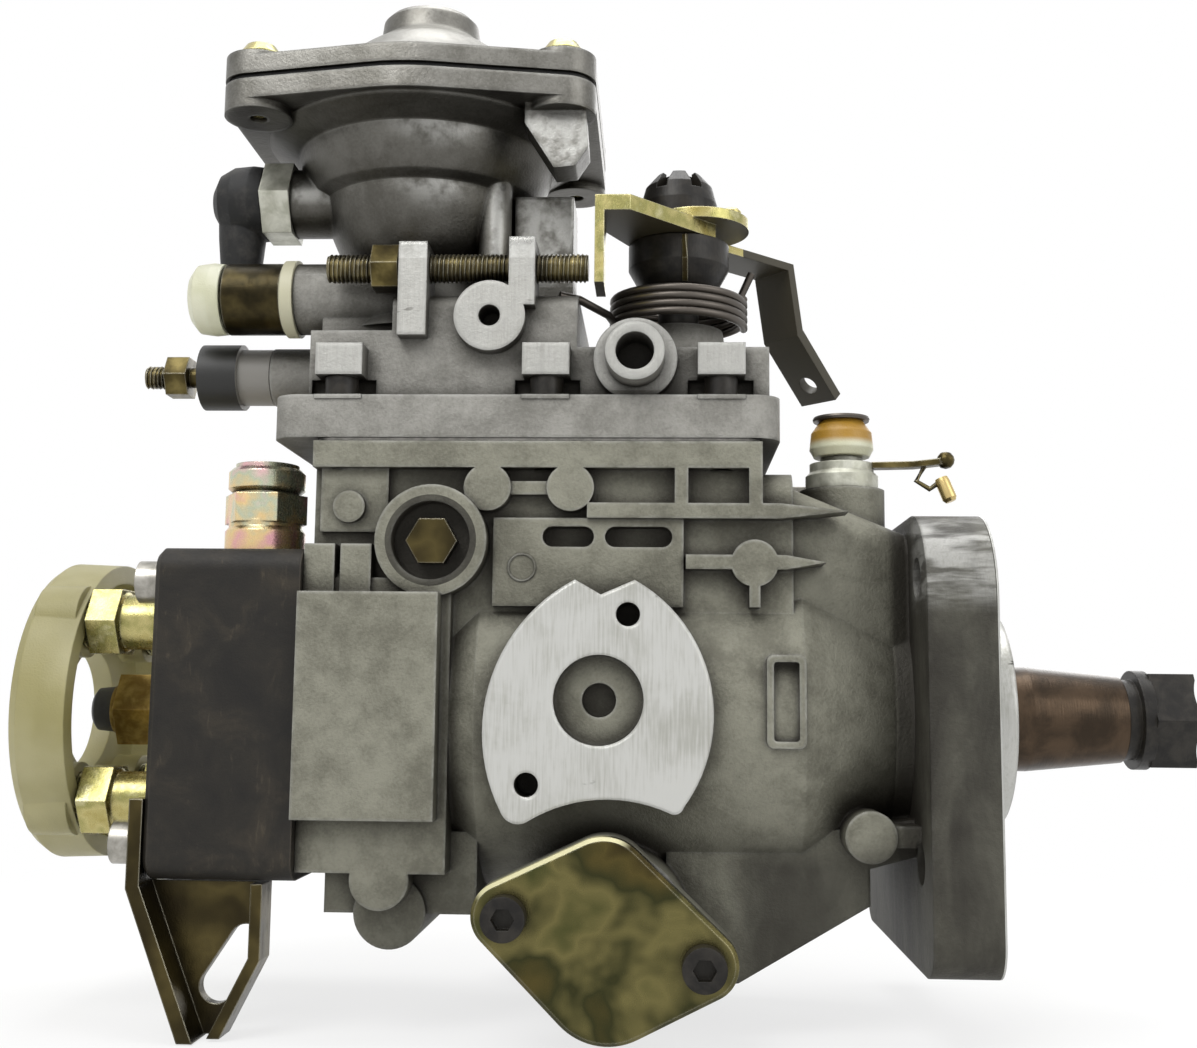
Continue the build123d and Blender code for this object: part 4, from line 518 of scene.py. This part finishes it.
def plastic_finish(name, colours, spread, transmission=0.0, roughness=0.42, tinted=None):
    """Moulded plastic; some light goes through the pale one, and tinted changes some places."""
    surface = Surface(name, transmission_weight=transmission)
    cloud = surface.noise(spread, detail=3.0, rough=0.5)
    grain = surface.noise(0.4 * MM, detail=2.0, rough=0.5)
    colour = surface.mix(colours[0], colours[1], surface.fade(cloud, 0.3, 0.7))
    if tinted:
        place, other = tinted
        colour = surface.mix(colour, other, place(surface))
    return surface.finish(colour, roughness + grain * 0.12, height=grain + cloud * 0.8, depth=0.08 * MM,
                          radius=0.6 * MM)


def union_ring(surface):
    """Bare ring of the return union against the cover."""
    return surface.x > -163.4 * MM


def round_full_load(surface, span):
    """What surrounds the full-load screw over that span of X."""
    return surface.within(surface.x, *span) * (surface.around(surface.y, surface.z, FULL_LOAD_AXIS) > 5 * MM)


def locking_cap(surface):
    """Black cap round the full-load screw."""
    return round_full_load(surface, LOCKING_CAP_X)


def locking_boss(surface):
    """Bare boss between that cap and the cover."""
    return round_full_load(surface, LOCKING_BOSS_X)


def cover_top_highlight(surface):
    """Painted highlight on the upper edges of the timing covers, where they face the light."""
    return surface.fade(surface.along((-0.2, -0.5, 0.8)), 0.72, 0.86, start=0.0, end=0.8)


def lever_shade(surface):
    """Painted shade on the arm, upright edges and underside of the throttle lever."""
    below = surface.along((0, 0, -1)) > 0.5
    return ((surface.x > -51 * MM) * (surface.z < 119.2 * MM)).most(surface.y > 9 * MM).most(below)


def inlet_dome(surface):
    """Amber top of the inlet's cap."""
    return (surface.x > -60 * MM) * surface.fade(surface.z, 64 * MM, 66 * MM)


def dress(material, *nodes):
    """Gives CAD nodes a material."""
    for name in nodes:
        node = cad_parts[name]
        node.data.materials.clear()
        node.data.materials.append(material)


# ------------------------------------------------------------------ meshes
def settle(name, mesh, material, body, replaced=(), smooth=30.0):
    """Makes a finished piece at the origin, riding on its body, with the material of that name."""
    mesh.materials.clear()
    mesh.materials.append(bpy.data.materials[material])
    mesh.polygons.foreach_set("use_smooth", [True] * len(mesh.polygons))
    mesh.set_sharp_from_angle(angle=radians(smooth))
    piece = bpy.data.objects.new(name, mesh)
    bpy.context.scene.collection.objects.link(piece)
    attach(piece, body)
    if replaced:
        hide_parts(*replaced)
    return piece


def frame_at(place, axis=(0, 0, 1)):
    """A frame at a place in millimetres whose Z runs along the axis."""
    turn = Vector((0, 0, 1)).rotation_difference(Vector(axis)).to_matrix().to_4x4()
    return Matrix.Translation([part * MM for part in place]) @ turn


def coil_tree():
    """A wire that winds round Z from the ground up."""
    group = bpy.data.node_groups.new("coil", "GeometryNodeTree")
    for name, kind, value in (("Radius", "NodeSocketFloat", 0.01), ("Wire", "NodeSocketFloat", 0.001),
                              ("Pitch", "NodeSocketFloat", 0.002), ("Turns", "NodeSocketFloat", 4.0),
                              ("Steps", "NodeSocketInt", 40), ("Facets", "NodeSocketInt", 10)):
        group.interface.new_socket(name, in_out="INPUT", socket_type=kind).default_value = value
    group.interface.new_socket("Material", in_out="INPUT", socket_type="NodeSocketMaterial")
    group.interface.new_socket("Geometry", in_out="OUTPUT", socket_type="NodeSocketGeometry")
    tree = Tree(group)
    radius = tree.node("NodeGroupInput", output="Radius")
    turns = radius.also("Turns")
    spiral = tree.node("GeometryNodeCurveSpiral", None, {
        "Resolution": radius.also("Steps"), "Rotations": turns, "Start Radius": radius, "End Radius": radius,
        "Height": radius.also("Pitch") * turns})
    profile = tree.node("GeometryNodeCurvePrimitiveCircle", None, {
        "Resolution": radius.also("Facets"), "Radius": radius.also("Wire")})
    wire = tree.node("GeometryNodeCurveToMesh", None,
                     {"Curve": spiral, "Profile Curve": profile, "Fill Caps": True})
    whole = tree.node("GeometryNodeRealizeInstances", None, {0: wire})
    painted = tree.node("GeometryNodeSetMaterial", None,
                        {"Geometry": whole, "Material": radius.also("Material")})
    tree.node("NodeGroupOutput", None, {0: painted})
    return group


def grown_mesh(tree, **inputs):
    """The plain mesh that a node tree makes from those inputs."""
    seed = bpy.data.objects.new("seed", bpy.data.meshes.new("seed"))
    bpy.context.scene.collection.objects.link(seed)
    modifier = seed.modifiers.new("grow", "NODES")
    modifier.node_group = tree
    for socket in tree.interface.items_tree:
        if socket.in_out == "INPUT" and socket.name in inputs:
            modifier[socket.identifier] = inputs[socket.name]
    grown = bpy.data.meshes.new_from_object(seed.evaluated_get(bpy.context.evaluated_depsgraph_get()))
    bpy.data.objects.remove(seed)
    return grown


def written(shape, name):
    """The mesh of a finished shape."""
    mesh = bpy.data.meshes.new(name)
    shape.to_mesh(mesh)
    shape.free()
    return mesh


def turned_mesh(points, steps=64):
    """A turned solid round Z from (radius, height) points in millimetres, closed on the axis."""
    shape = bmesh.new()
    rings = []
    for radius, height in points:
        if radius == 0:
            rings.append([shape.verts.new((0, 0, height * MM))])
            continue
        angles = [2 * pi * step / steps for step in range(steps)]
        rings.append([shape.verts.new((radius * MM * cos(angle), radius * MM * sin(angle), height * MM))
                      for angle in angles])
    for low, high in zip(rings, rings[1:]):
        for step in range(steps):
            following = (step + 1) % steps
            corners = [low[step % len(low)], low[following % len(low)], high[following % len(high)],
                       high[step % len(high)]]
            corners = list(dict.fromkeys(corners))
            if len(corners) > 2:
                shape.faces.new(corners)
    bmesh.ops.remove_doubles(shape, verts=shape.verts, dist=MERGE_DISTANCE)
    bmesh.ops.recalc_face_normals(shape, faces=shape.faces)
    return written(shape, "turned")


def swept_mesh(path, width, height, corners=4):
    """A bar along a path in millimetres, square or, with more corners, round; height is measured along Z."""
    shape = bmesh.new()
    points = [Vector(point) * MM for point in path]
    reach = 2 ** 0.5 if corners == 4 else 1.0
    rings = []
    for index, point in enumerate(points):
        ahead = points[min(index + 1, len(points) - 1)] - points[max(index - 1, 0)]
        across = ahead.cross(Vector((0, 0, 1)))
        across = across.normalized() if across.length > MERGE_DISTANCE else Vector((0, 1, 0))
        above = across.cross(ahead).normalized()
        ring = []
        for corner in range(corners):
            angle = 2 * pi * (corner + 0.5) / corners
            ring.append(shape.verts.new(point + across * (reach * width / 2 * MM * cos(angle))
                                        + above * (reach * height / 2 * MM * sin(angle))))
        rings.append(ring)
    for low, high in zip(rings, rings[1:]):
        for corner in range(corners):
            following = (corner + 1) % corners
            shape.faces.new((low[corner], low[following], high[following], high[corner]))
    shape.faces.new(rings[0])
    shape.faces.new(rings[-1])
    bmesh.ops.recalc_face_normals(shape, faces=shape.faces)
    return written(shape, "swept")


def placed(mesh, matrix):
    """The mesh, moved."""
    mesh.transform(matrix)
    return mesh


def joined(meshes):
    """One mesh from several."""
    shape = bmesh.new()
    for mesh in meshes:
        shape.from_mesh(mesh)
    return written(shape, "joined")


# ------------------------------------------------------------------ operators
class StageOperator(bpy.types.Operator):
    """Builds the floor, the light and the camera."""

    bl_idname = "pump.stage"
    bl_label = "Stage"

    def execute(self, context):
        stage = context.scene.pump_stage
        self.add_world(context.scene, stage)
        self.add_floor(stage)
        lights = (("key", (-0.45, -0.70, 0.85), 0.6, 1.0), ("fill", (0.75, -0.60, 0.45), 0.7, 0.45),
                  ("crown", (-0.05, 0.10, 0.95), 0.7, 0.9), ("back", (0.15, 0.95, 0.45), 0.7, 0.4))
        for name, place, size, share in lights:
            self.add_light(name, Vector(place), size, stage.key_power * share)
        self.add_camera(context.scene, stage)
        context.scene.view_settings.view_transform = "Standard"
        return {"FINISHED"}

    @staticmethod
    def add_world(scene, stage):
        """White to the camera and in reflections, and a plain level of light for the rest."""
        scene.world = bpy.data.worlds.new("surroundings")
        scene.world.use_nodes = True
        tree = Tree(scene.world.node_tree)
        strength = stage.world_level + seen_plainly(tree) * (1.0 - stage.world_level)
        light = tree.node("ShaderNodeBackground", None, {"Color": (1, 1, 1), "Strength": strength})
        tree.node("ShaderNodeOutputWorld", None, {"Surface": light})

    @staticmethod
    def add_floor(stage):
        """A pale floor under the lowest point, fading to white away from the object."""
        shape = bmesh.new()
        bmesh.ops.create_circle(shape, cap_ends=True, segments=96, radius=stage.floor_radius)
        mesh = written(shape, "floor")
        floor = bpy.data.objects.new("floor", mesh)
        floor.location = ((CAD_BOX[0][0] + CAD_BOX[1][0]) / 2, 0, CAD_BOX[0][2] - 0.3 * MM)
        bpy.context.scene.collection.objects.link(floor)
        surface = Surface("pale_floor", base_color=(0.90, 0.90, 0.89), roughness=0.9)
        seen = seen_plainly(surface)
        glow = surface.node("ShaderNodeEmission", None, {"Color": (1, 1, 1), "Strength": 1.0})
        part = surface.fade(surface.around(surface.x, surface.y), 0.14, 0.36, start=0.75, end=1.0) * seen
        mixed = surface.node("ShaderNodeMixShader", None, {0: part, 1: surface.shader, 2: glow})
        mesh.materials.append(surface.show(mixed))

    @staticmethod
    def add_light(name, place, size, power):
        """A soft square light that faces the pump."""
        light = bpy.data.lights.new(name, "AREA")
        light.size = size
        light.energy = power
        lamp = bpy.data.objects.new(name, light)
        lamp.location = place
        lamp.rotation_euler = (Vector(LIT_POINT) - place).to_track_quat("-Z", "Y").to_euler()
        bpy.context.scene.collection.objects.link(lamp)

    @staticmethod
    def add_camera(scene, stage):
        """The camera, set up from the focal length in pixels and its three turns."""
        camera = bpy.data.cameras.new("camera")
        camera.sensor_fit = "HORIZONTAL"
        camera.sensor_width = 36.0
        camera.lens = camera.sensor_width * stage.focal_pixels / stage.frame_width
        camera.clip_start = 0.01
        ahead = Vector((-sin(stage.turn) * cos(stage.tilt), cos(stage.turn) * cos(stage.tilt), sin(stage.tilt)))
        level = Vector((cos(stage.turn), sin(stage.turn), 0))
        rise = level.cross(ahead)
        right = level * cos(stage.roll) + rise * sin(stage.roll)
        up = rise * cos(stage.roll) - level * sin(stage.roll)
        holder = bpy.data.objects.new("camera", camera)
        holder.matrix_world = Matrix((right, up, -ahead)).transposed().to_4x4()
        holder.location = stage.camera_place
        scene.collection.objects.link(holder)
        scene.camera = holder


class CastingsOperator(bpy.types.Operator):
    """Finishes the housing, the governor cover and the boost cap."""

    bl_idname = "pump.castings"
    bl_label = "Castings"

    def execute(self, context):
        finish = context.scene.pump_finish
        dress(cast_finish("sand_cast", finish.cast_light, finish.cast_dark, finish,
                          machined=housing_machined_and_highlight, oily_and_shaded=housing_oil_and_shade), "pump_housing")
        for name, machined, node in (("die_cast", cover_machined, "governor_cover"),
                                     ("cap_cast", cap_machined, "boost_cap")):
            dress(cast_finish(name, finish.cover_light, finish.cover_dark, finish,
                              machined=machined, polish=bowl_polish), node)
        return {"FINISHED"}


class SteelOperator(bpy.types.Operator):
    """Finishes the steel, bronze and brass parts."""

    bl_idname = "pump.steel_parts"
    bl_label = "Steel parts"

    def execute(self, context):
        finish = context.scene.pump_finish
        bright = metal_finish("bright_steel", finish.steel, (0.26, 0.25, 0.22), roughness=0.24, spread=5 * MM,
                              finish=finish)
        pale = metal_finish("pale_zinc", (0.60, 0.60, 0.52), (0.38, 0.38, 0.31), roughness=0.34, spread=5 * MM,
                            finish=finish, metallic=0.5)
        brown = metal_finish("shaft_steel", (0.074, 0.050, 0.032), (0.035, 0.025, 0.017), roughness=0.24,
                             spread=9 * MM, finish=finish)
        dark = metal_finish("dark_steel", (0.024, 0.021, 0.017), (0.007, 0.006, 0.005), roughness=0.34,
                            spread=4 * MM, finish=finish, metallic=0.15, sheen=0.3)
        bronze = metal_finish("sintered_bronze", (0.42, 0.29, 0.16), (0.25, 0.16, 0.09), roughness=0.4,
                              spread=3 * MM, finish=finish)
        brass = metal_finish("brass", (0.50, 0.36, 0.12), (0.26, 0.17, 0.05), roughness=0.28, spread=4 * MM,
                             finish=finish)
        dress(pale, "fuel_inlet", "boost_fitting")
        dress(bright, "head_sleeve", "head_screws", "delivery_valves", "timing_spring", "timing_piston",
              "pump_ring_and_plate", "pump_rotor_and_vanes", "regulating_valve", "drive_gear", "cross_coupling",
              "cam_plate", "cam_rollers", "roller_ring_and_pin", "plunger", "plunger_springs", "spring_bridge",
              "control_collar", "governor_shaft_and_pins", "flyweight_carrier", "flyweight_1", "flyweight_2",
              "flyweight_3", "flyweight_4", "governor_sleeve", "start_lever", "tension_lever",
              "governor_spring", "boost_spring", "boost_pin")
        dress(brown, "drive_shaft")
        dress(dark, "nose_nut_and_key", "cover_screws", "timing_screws", "throttle_shaft", "throttle_nut",
              "throttle_spring")
        dress(bronze, "shaft_bush")
        dress(brass, "head_plug")
        dress(black_finish("phosphated_steel"), "distributor_head")
        return {"FINISHED"}


class PlatedOperator(bpy.types.Operator):
    """Finishes the zinc-plated parts."""

    bl_idname = "pump.plated_parts"
    bl_label = "Plated parts"

    def execute(self, context):
        finish = context.scene.pump_finish
        gold = ((0.26, (0.020, 0.015, 0.006)), (0.38, (0.085, 0.066, 0.020)), (0.50, (0.036, 0.036, 0.013)),
                (0.60, (0.15, 0.13, 0.048)), (0.70, (0.060, 0.062, 0.020)), (0.82, (0.26, 0.22, 0.095)))
        clear = ((0.28, (0.34, 0.28, 0.085)), (0.45, (0.48, 0.42, 0.18)), (0.60, (0.30, 0.28, 0.10)),
                 (0.78, (0.60, 0.56, 0.34)))
        rust = ((0.28, (0.014, 0.010, 0.005)), (0.46, (0.040, 0.031, 0.012)), (0.60, (0.085, 0.066, 0.024)),
                (0.74, (0.038, 0.029, 0.012)), (0.84, (0.26, 0.22, 0.095)))
        olive = ((0.30, (0.028, 0.021, 0.008)), (0.5, (0.070, 0.054, 0.018)), (0.72, (0.17, 0.135, 0.05)))
        sleeve = ((0.30, (0.012, 0.010, 0.004)), (0.5, (0.026, 0.020, 0.008)), (0.75, (0.060, 0.047, 0.018)))
        rose = ((0.30, (0.72, 0.38, 0.40)), (0.44, (0.76, 0.56, 0.28)), (0.55, (0.50, 0.54, 0.40)),
                (0.70, (0.80, 0.48, 0.50)))
        # The pale colour on the timing covers' upper edges is a painted highlight.
        dress(plated_finish("gold_zinc", gold, spread=21 * MM, roughness=0.16, finish=finish,
                            special=((cover_top_highlight, (0.74, 0.70, 0.42)),)), "timing_covers")
        dress(plated_finish("yellow_zinc", clear, spread=6 * MM, roughness=0.2, finish=finish),
              "delivery_holders", "boost_screws")
        # The dark colour on the lever's arm, far edges and underside is painted shade.
        dress(plated_finish("lever_zinc", clear, spread=6 * MM, roughness=0.2, finish=finish,
                            special=((lever_shade, (0.034, 0.028, 0.013)),)),
              "throttle_lever")
        dress(plated_finish("bracket_zinc", rust, spread=16 * MM, roughness=0.24, finish=finish),
              "support_bracket", "pivot_screws")
        dress(plated_finish("olive_zinc", sleeve, spread=5 * MM, roughness=0.26, finish=finish,
                            special=((union_ring, (0.52, 0.50, 0.36)),)),
              "return_union")
        dress(plated_finish("screw_zinc", olive, spread=5 * MM, roughness=0.26, finish=finish,
                            special=((locking_cap, (0.012, 0.012, 0.011)), (locking_boss, (0.24, 0.23, 0.21)))),
              "adjusting_screws")
        dress(plated_finish("rose_zinc", rose, spread=9 * MM, roughness=0.2, finish=finish), "shutoff_solenoid")
        return {"FINISHED"}


class MouldedOperator(bpy.types.Operator):
    """Finishes the rubber, plastic and paper parts."""

    bl_idname = "pump.moulded_parts"
    bl_label = "Moulded parts"

    def execute(self, context):
        dress(rubber_finish("black_rubber"), "rubber_seals", "boost_hose", "boost_diaphragm")
        dress(plastic_finish("cream_plastic", ((0.42, 0.38, 0.16), (0.56, 0.52, 0.29)), spread=20 * MM,
                             transmission=0.45), "outlet_guard")
        dress(plastic_finish("cap_plastic", ((0.60, 0.60, 0.42), (0.74, 0.74, 0.58)), spread=12 * MM,
                             transmission=0.15, roughness=0.35,
                             tinted=(inlet_dome, (0.42, 0.23, 0.025))), "transport_caps")
        dress(plastic_finish("black_plastic", ((0.014, 0.014, 0.014), (0.03, 0.03, 0.03)), spread=5 * MM),
              "plug_cap")
        dress(plastic_finish("gasket_fibre", ((0.16, 0.155, 0.14), (0.26, 0.25, 0.23)), spread=2 * MM,
                             roughness=0.8), "cover_gasket")
        return {"FINISHED"}


class ThreadsOperator(bpy.types.Operator):
    """Winds the threads of the screws and outlets."""

    bl_idname = "pump.threads"
    bl_label = "Threads"

    def execute(self, context):
        fitting = context.scene.pump_fitting
        tree = coil_tree()
        rows = (("stop_screw_thread", STOP_SCREW_AXIS, STOP_THREAD_RADIUS, STOP_THREAD_RUNS),
                ("full_load_thread", FULL_LOAD_AXIS, FULL_LOAD_THREAD_RADIUS, FULL_LOAD_THREAD_RUNS))
        for name, axis, radius, runs in rows:
            coils = [self.wind(tree, fitting, "screw_zinc", (1, 0, 0), (start, *axis), radius, length)
                     for start, length in runs]
            settle(name, joined(coils), "screw_zinc", "pump")
        start, length = OUTLET_THREAD_RUN
        places = [(start, y, z) for y in (-OUTLET_REACH, OUTLET_REACH) for z in (-OUTLET_REACH, OUTLET_REACH)]
        coils = [self.wind(tree, fitting, "yellow_zinc", (-1, 0, 0), place, OUTLET_THREAD_RADIUS, length)
                 for place in places]
        settle("outlet_threads", joined(coils), "yellow_zinc", "pump")
        return {"FINISHED"}

    @staticmethod
    def wind(tree, fitting, finish, direction, place, radius, length):
        """One thread from that place in that direction, in millimetres."""
        ridge = fitting.thread_height / MM
        coil = grown_mesh(tree, Radius=(radius + 0.2 * ridge) * MM, Wire=ridge * MM, Pitch=fitting.thread_pitch,
                          Turns=length * MM / fitting.thread_pitch, Steps=28, Facets=4,
                          Material=bpy.data.materials[finish])
        return placed(coil, frame_at(place, direction))


class ReturnSpringOperator(bpy.types.Operator):
    """Winds the throttle's return spring."""

    bl_idname = "pump.return_spring"
    bl_label = "Return spring"

    def execute(self, context):
        fitting = context.scene.pump_fitting
        low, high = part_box("throttle_spring")
        foot = ((low[0] + high[0]) / 2, (low[1] + high[1]) / 2, low[2] + fitting.spring_wire / 2)
        radius = (high[0] - low[0]) / 2 - fitting.spring_wire / 2
        pitch = (high[2] - low[2] - fitting.spring_wire) / fitting.spring_turns
        coil = grown_mesh(coil_tree(), Radius=radius, Wire=fitting.spring_wire / 2, Pitch=pitch,
                          Turns=fitting.spring_turns, Steps=fitting.coil_steps, Facets=12,
                          Material=bpy.data.materials["dark_steel"])
        placed(coil, Matrix.Translation(foot))
        paths = (((-83.0, -8.0, 95.5), (-84.5, -16.0, 95.8), (-91.0, -25.5, 97.0), (-95.5, -27.5, 97.5)),
                 ((-59.0, 8.5, 102.2), (-52.0, 9.5, 106.0), (-48.5, 8.5, 113.5)))
        legs = [swept_mesh(path, 2.0, 2.0, corners=12) for path in paths]
        settle("return_spring", joined([coil, *legs]), "dark_steel", "pump",
               replaced=("throttle_spring",), smooth=60)
        return {"FINISHED"}


class InnerSpringsOperator(bpy.types.Operator):
    """Winds the springs of the timing piston and the boost pin."""

    bl_idname = "pump.inner_springs"
    bl_label = "Inner springs"

    def execute(self, context):
        fitting = context.scene.pump_fitting
        tree = coil_tree()
        rows = (("timing_coil", "timing_spring", "timing_slide", 1, 9.0, 0.75),
                ("boost_coil", "boost_spring", "boost_slide", 2, 2.5, 0.44))
        for name, node, joint, axis, turns, kept in rows:
            low, high = (Vector(corner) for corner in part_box(node))
            direction = Vector([float(index == axis) for index in range(3)])
            anchor = (low + high) / 2
            foot = anchor.copy()
            foot[axis] = low[axis] + fitting.spring_wire / 2
            anchor[axis] = high[axis] if axis == 1 else low[axis]
            coil = grown_mesh(tree, Radius=(high[0] - low[0]) / 2 - fitting.spring_wire / 2,
                              Wire=fitting.spring_wire / 2, Turns=turns, Steps=fitting.coil_steps, Facets=12,
                              Pitch=(high[axis] - low[axis] - fitting.spring_wire) / turns,
                              Material=bpy.data.materials["bright_steel"])
            placed(coil, frame_at(foot / MM, direction))
            piece = settle(name, coil, "bright_steel", "pump", replaced=(node,), smooth=60)
            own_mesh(piece)
        return {"FINISHED"}


class InletClipOperator(bpy.types.Operator):
    """Adds the locking strip of the inlet, with its ball and tag, and the ring on the cap."""

    bl_idname = "pump.inlet_clip"
    bl_label = "Inlet clip"

    def execute(self, context):
        path = ((-21.5, -14.0, 59.4), (-12.0, -15.5, 59.4), (-5.5, -16.5, 60.0))
        strip = swept_mesh(path, 3.4, 1.5)
        path = ((-9.5, -16.2, 59.0), (-11.5, -16.6, 55.5), (-8.5, -17.0, 53.5), (-6.4, -17.4, 55.0))
        hook = swept_mesh(path, 1.3, 1.3, corners=10)
        profile = ((0, -2.1), (1.2, -1.75), (1.9, -0.9), (2.1, 0), (1.9, 0.9), (1.2, 1.75), (0, 2.1))
        ball = placed(turned_mesh(profile, steps=20), frame_at(BALL_PLACE))
        settle("inlet_clip", joined([strip, hook, ball]), "screw_zinc", "pump")
        profile = ((3.4, -0.5), (6.6, -0.5), (6.8, 0), (6.6, 0.5), (3.4, 0.5), (3.4, -0.5))
        ring = placed(turned_mesh(profile, steps=40), frame_at((*INLET_AXIS, INLET_CAP_TOP)))
        settle("inlet_ring", ring, "dark_steel", "pump")
        profile = ((0, 0), (1.5, 0), (1.7, 1.0), (1.7, 5.2), (1.2, 6.0), (0, 6.0))
        tag = placed(turned_mesh(profile, steps=20), frame_at(TAG_PLACE, TAG_LEAN))
        settle("inlet_tag", tag, "brass", "pump")
        return {"FINISHED"}


class PanelRingOperator(bpy.types.Operator):
    """Raises a cast ring on the panel over the pad."""

    bl_idname = "pump.panel_ring"
    bl_label = "Panel ring"

    def execute(self, context):
        profile = ((2.7, -0.3), (3.3, -0.3), (3.3, 0.1), (3.1, 0.35), (2.9, 0.35), (2.7, 0.1), (2.7, -0.3))
        ring = placed(turned_mesh(profile, steps=48), frame_at(PANEL_RING_PLACE, TOWARD_FRONT))
        settle("panel_ring", ring, "sand_cast", "pump")
        return {"FINISHED"}


class ThrottleTrimOperator(bpy.types.Operator):
    """Adds the mark on the throttle's hub and the pin in its lever."""

    bl_idname = "pump.throttle_trim"
    bl_label = "Throttle trim"

    def execute(self, context):
        path = ((-66.0, -14.8, 104.8), (-66.1, -17.5, 109.8), (-66.2, -17.6, 115.5))
        settle("hub_marks", swept_mesh(path, 1.4, 0.8), "screw_zinc", "throttle")
        profile = ((0, 0), (2.4, 0), (2.4, 1.6), (1.9, 2.2), (0, 2.2))
        pin = placed(turned_mesh(profile, steps=24), frame_at(LEVER_PIN_PLACE))
        settle("lever_pin", pin, "yellow_zinc", "throttle")
        return {"FINISHED"}


STEPS = (StageOperator, CastingsOperator, SteelOperator, PlatedOperator, MouldedOperator, ThreadsOperator,
         ReturnSpringOperator, InnerSpringsOperator, InletClipOperator, PanelRingOperator, ThrottleTrimOperator)


class PumpPanel(bpy.types.Panel):
    """Lists the pump's sizes, colours and steps."""

    bl_idname = "VIEW3D_PT_pump"
    bl_label = "Injection pump"
    bl_space_type = "VIEW_3D"
    bl_region_type = "UI"
    bl_category = "Pump"

    def draw(self, context):
        for settings in (context.scene.pump_stage, context.scene.pump_finish, context.scene.pump_fitting):
            box = self.layout.box()
            for name in settings.__annotations__:
                box.prop(settings, name)
        for step in STEPS:
            self.layout.operator(step.bl_idname)


GROUPS = {"pump_stage": StageSettings, "pump_finish": FinishSettings, "pump_fitting": FittingSettings}


def register():
    for group in GROUPS.values():
        bpy.utils.register_class(group)
    for name, group in GROUPS.items():
        setattr(bpy.types.Scene, name, PointerProperty(type=group))
    for kind in (*STEPS, PumpPanel):
        bpy.utils.register_class(kind)


def unregister():
    for kind in (PumpPanel, *reversed(STEPS)):
        bpy.utils.unregister_class(kind)
    for name in GROUPS:
        delattr(bpy.types.Scene, name)
    for group in reversed(GROUPS.values()):
        bpy.utils.unregister_class(group)


def main():
    """Registers the add-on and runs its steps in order."""
    register()
    for step in STEPS:
        family, name = step.bl_idname.split(".")
        getattr(getattr(bpy.ops, family), name)()


if __name__ == "__main__":
    main()
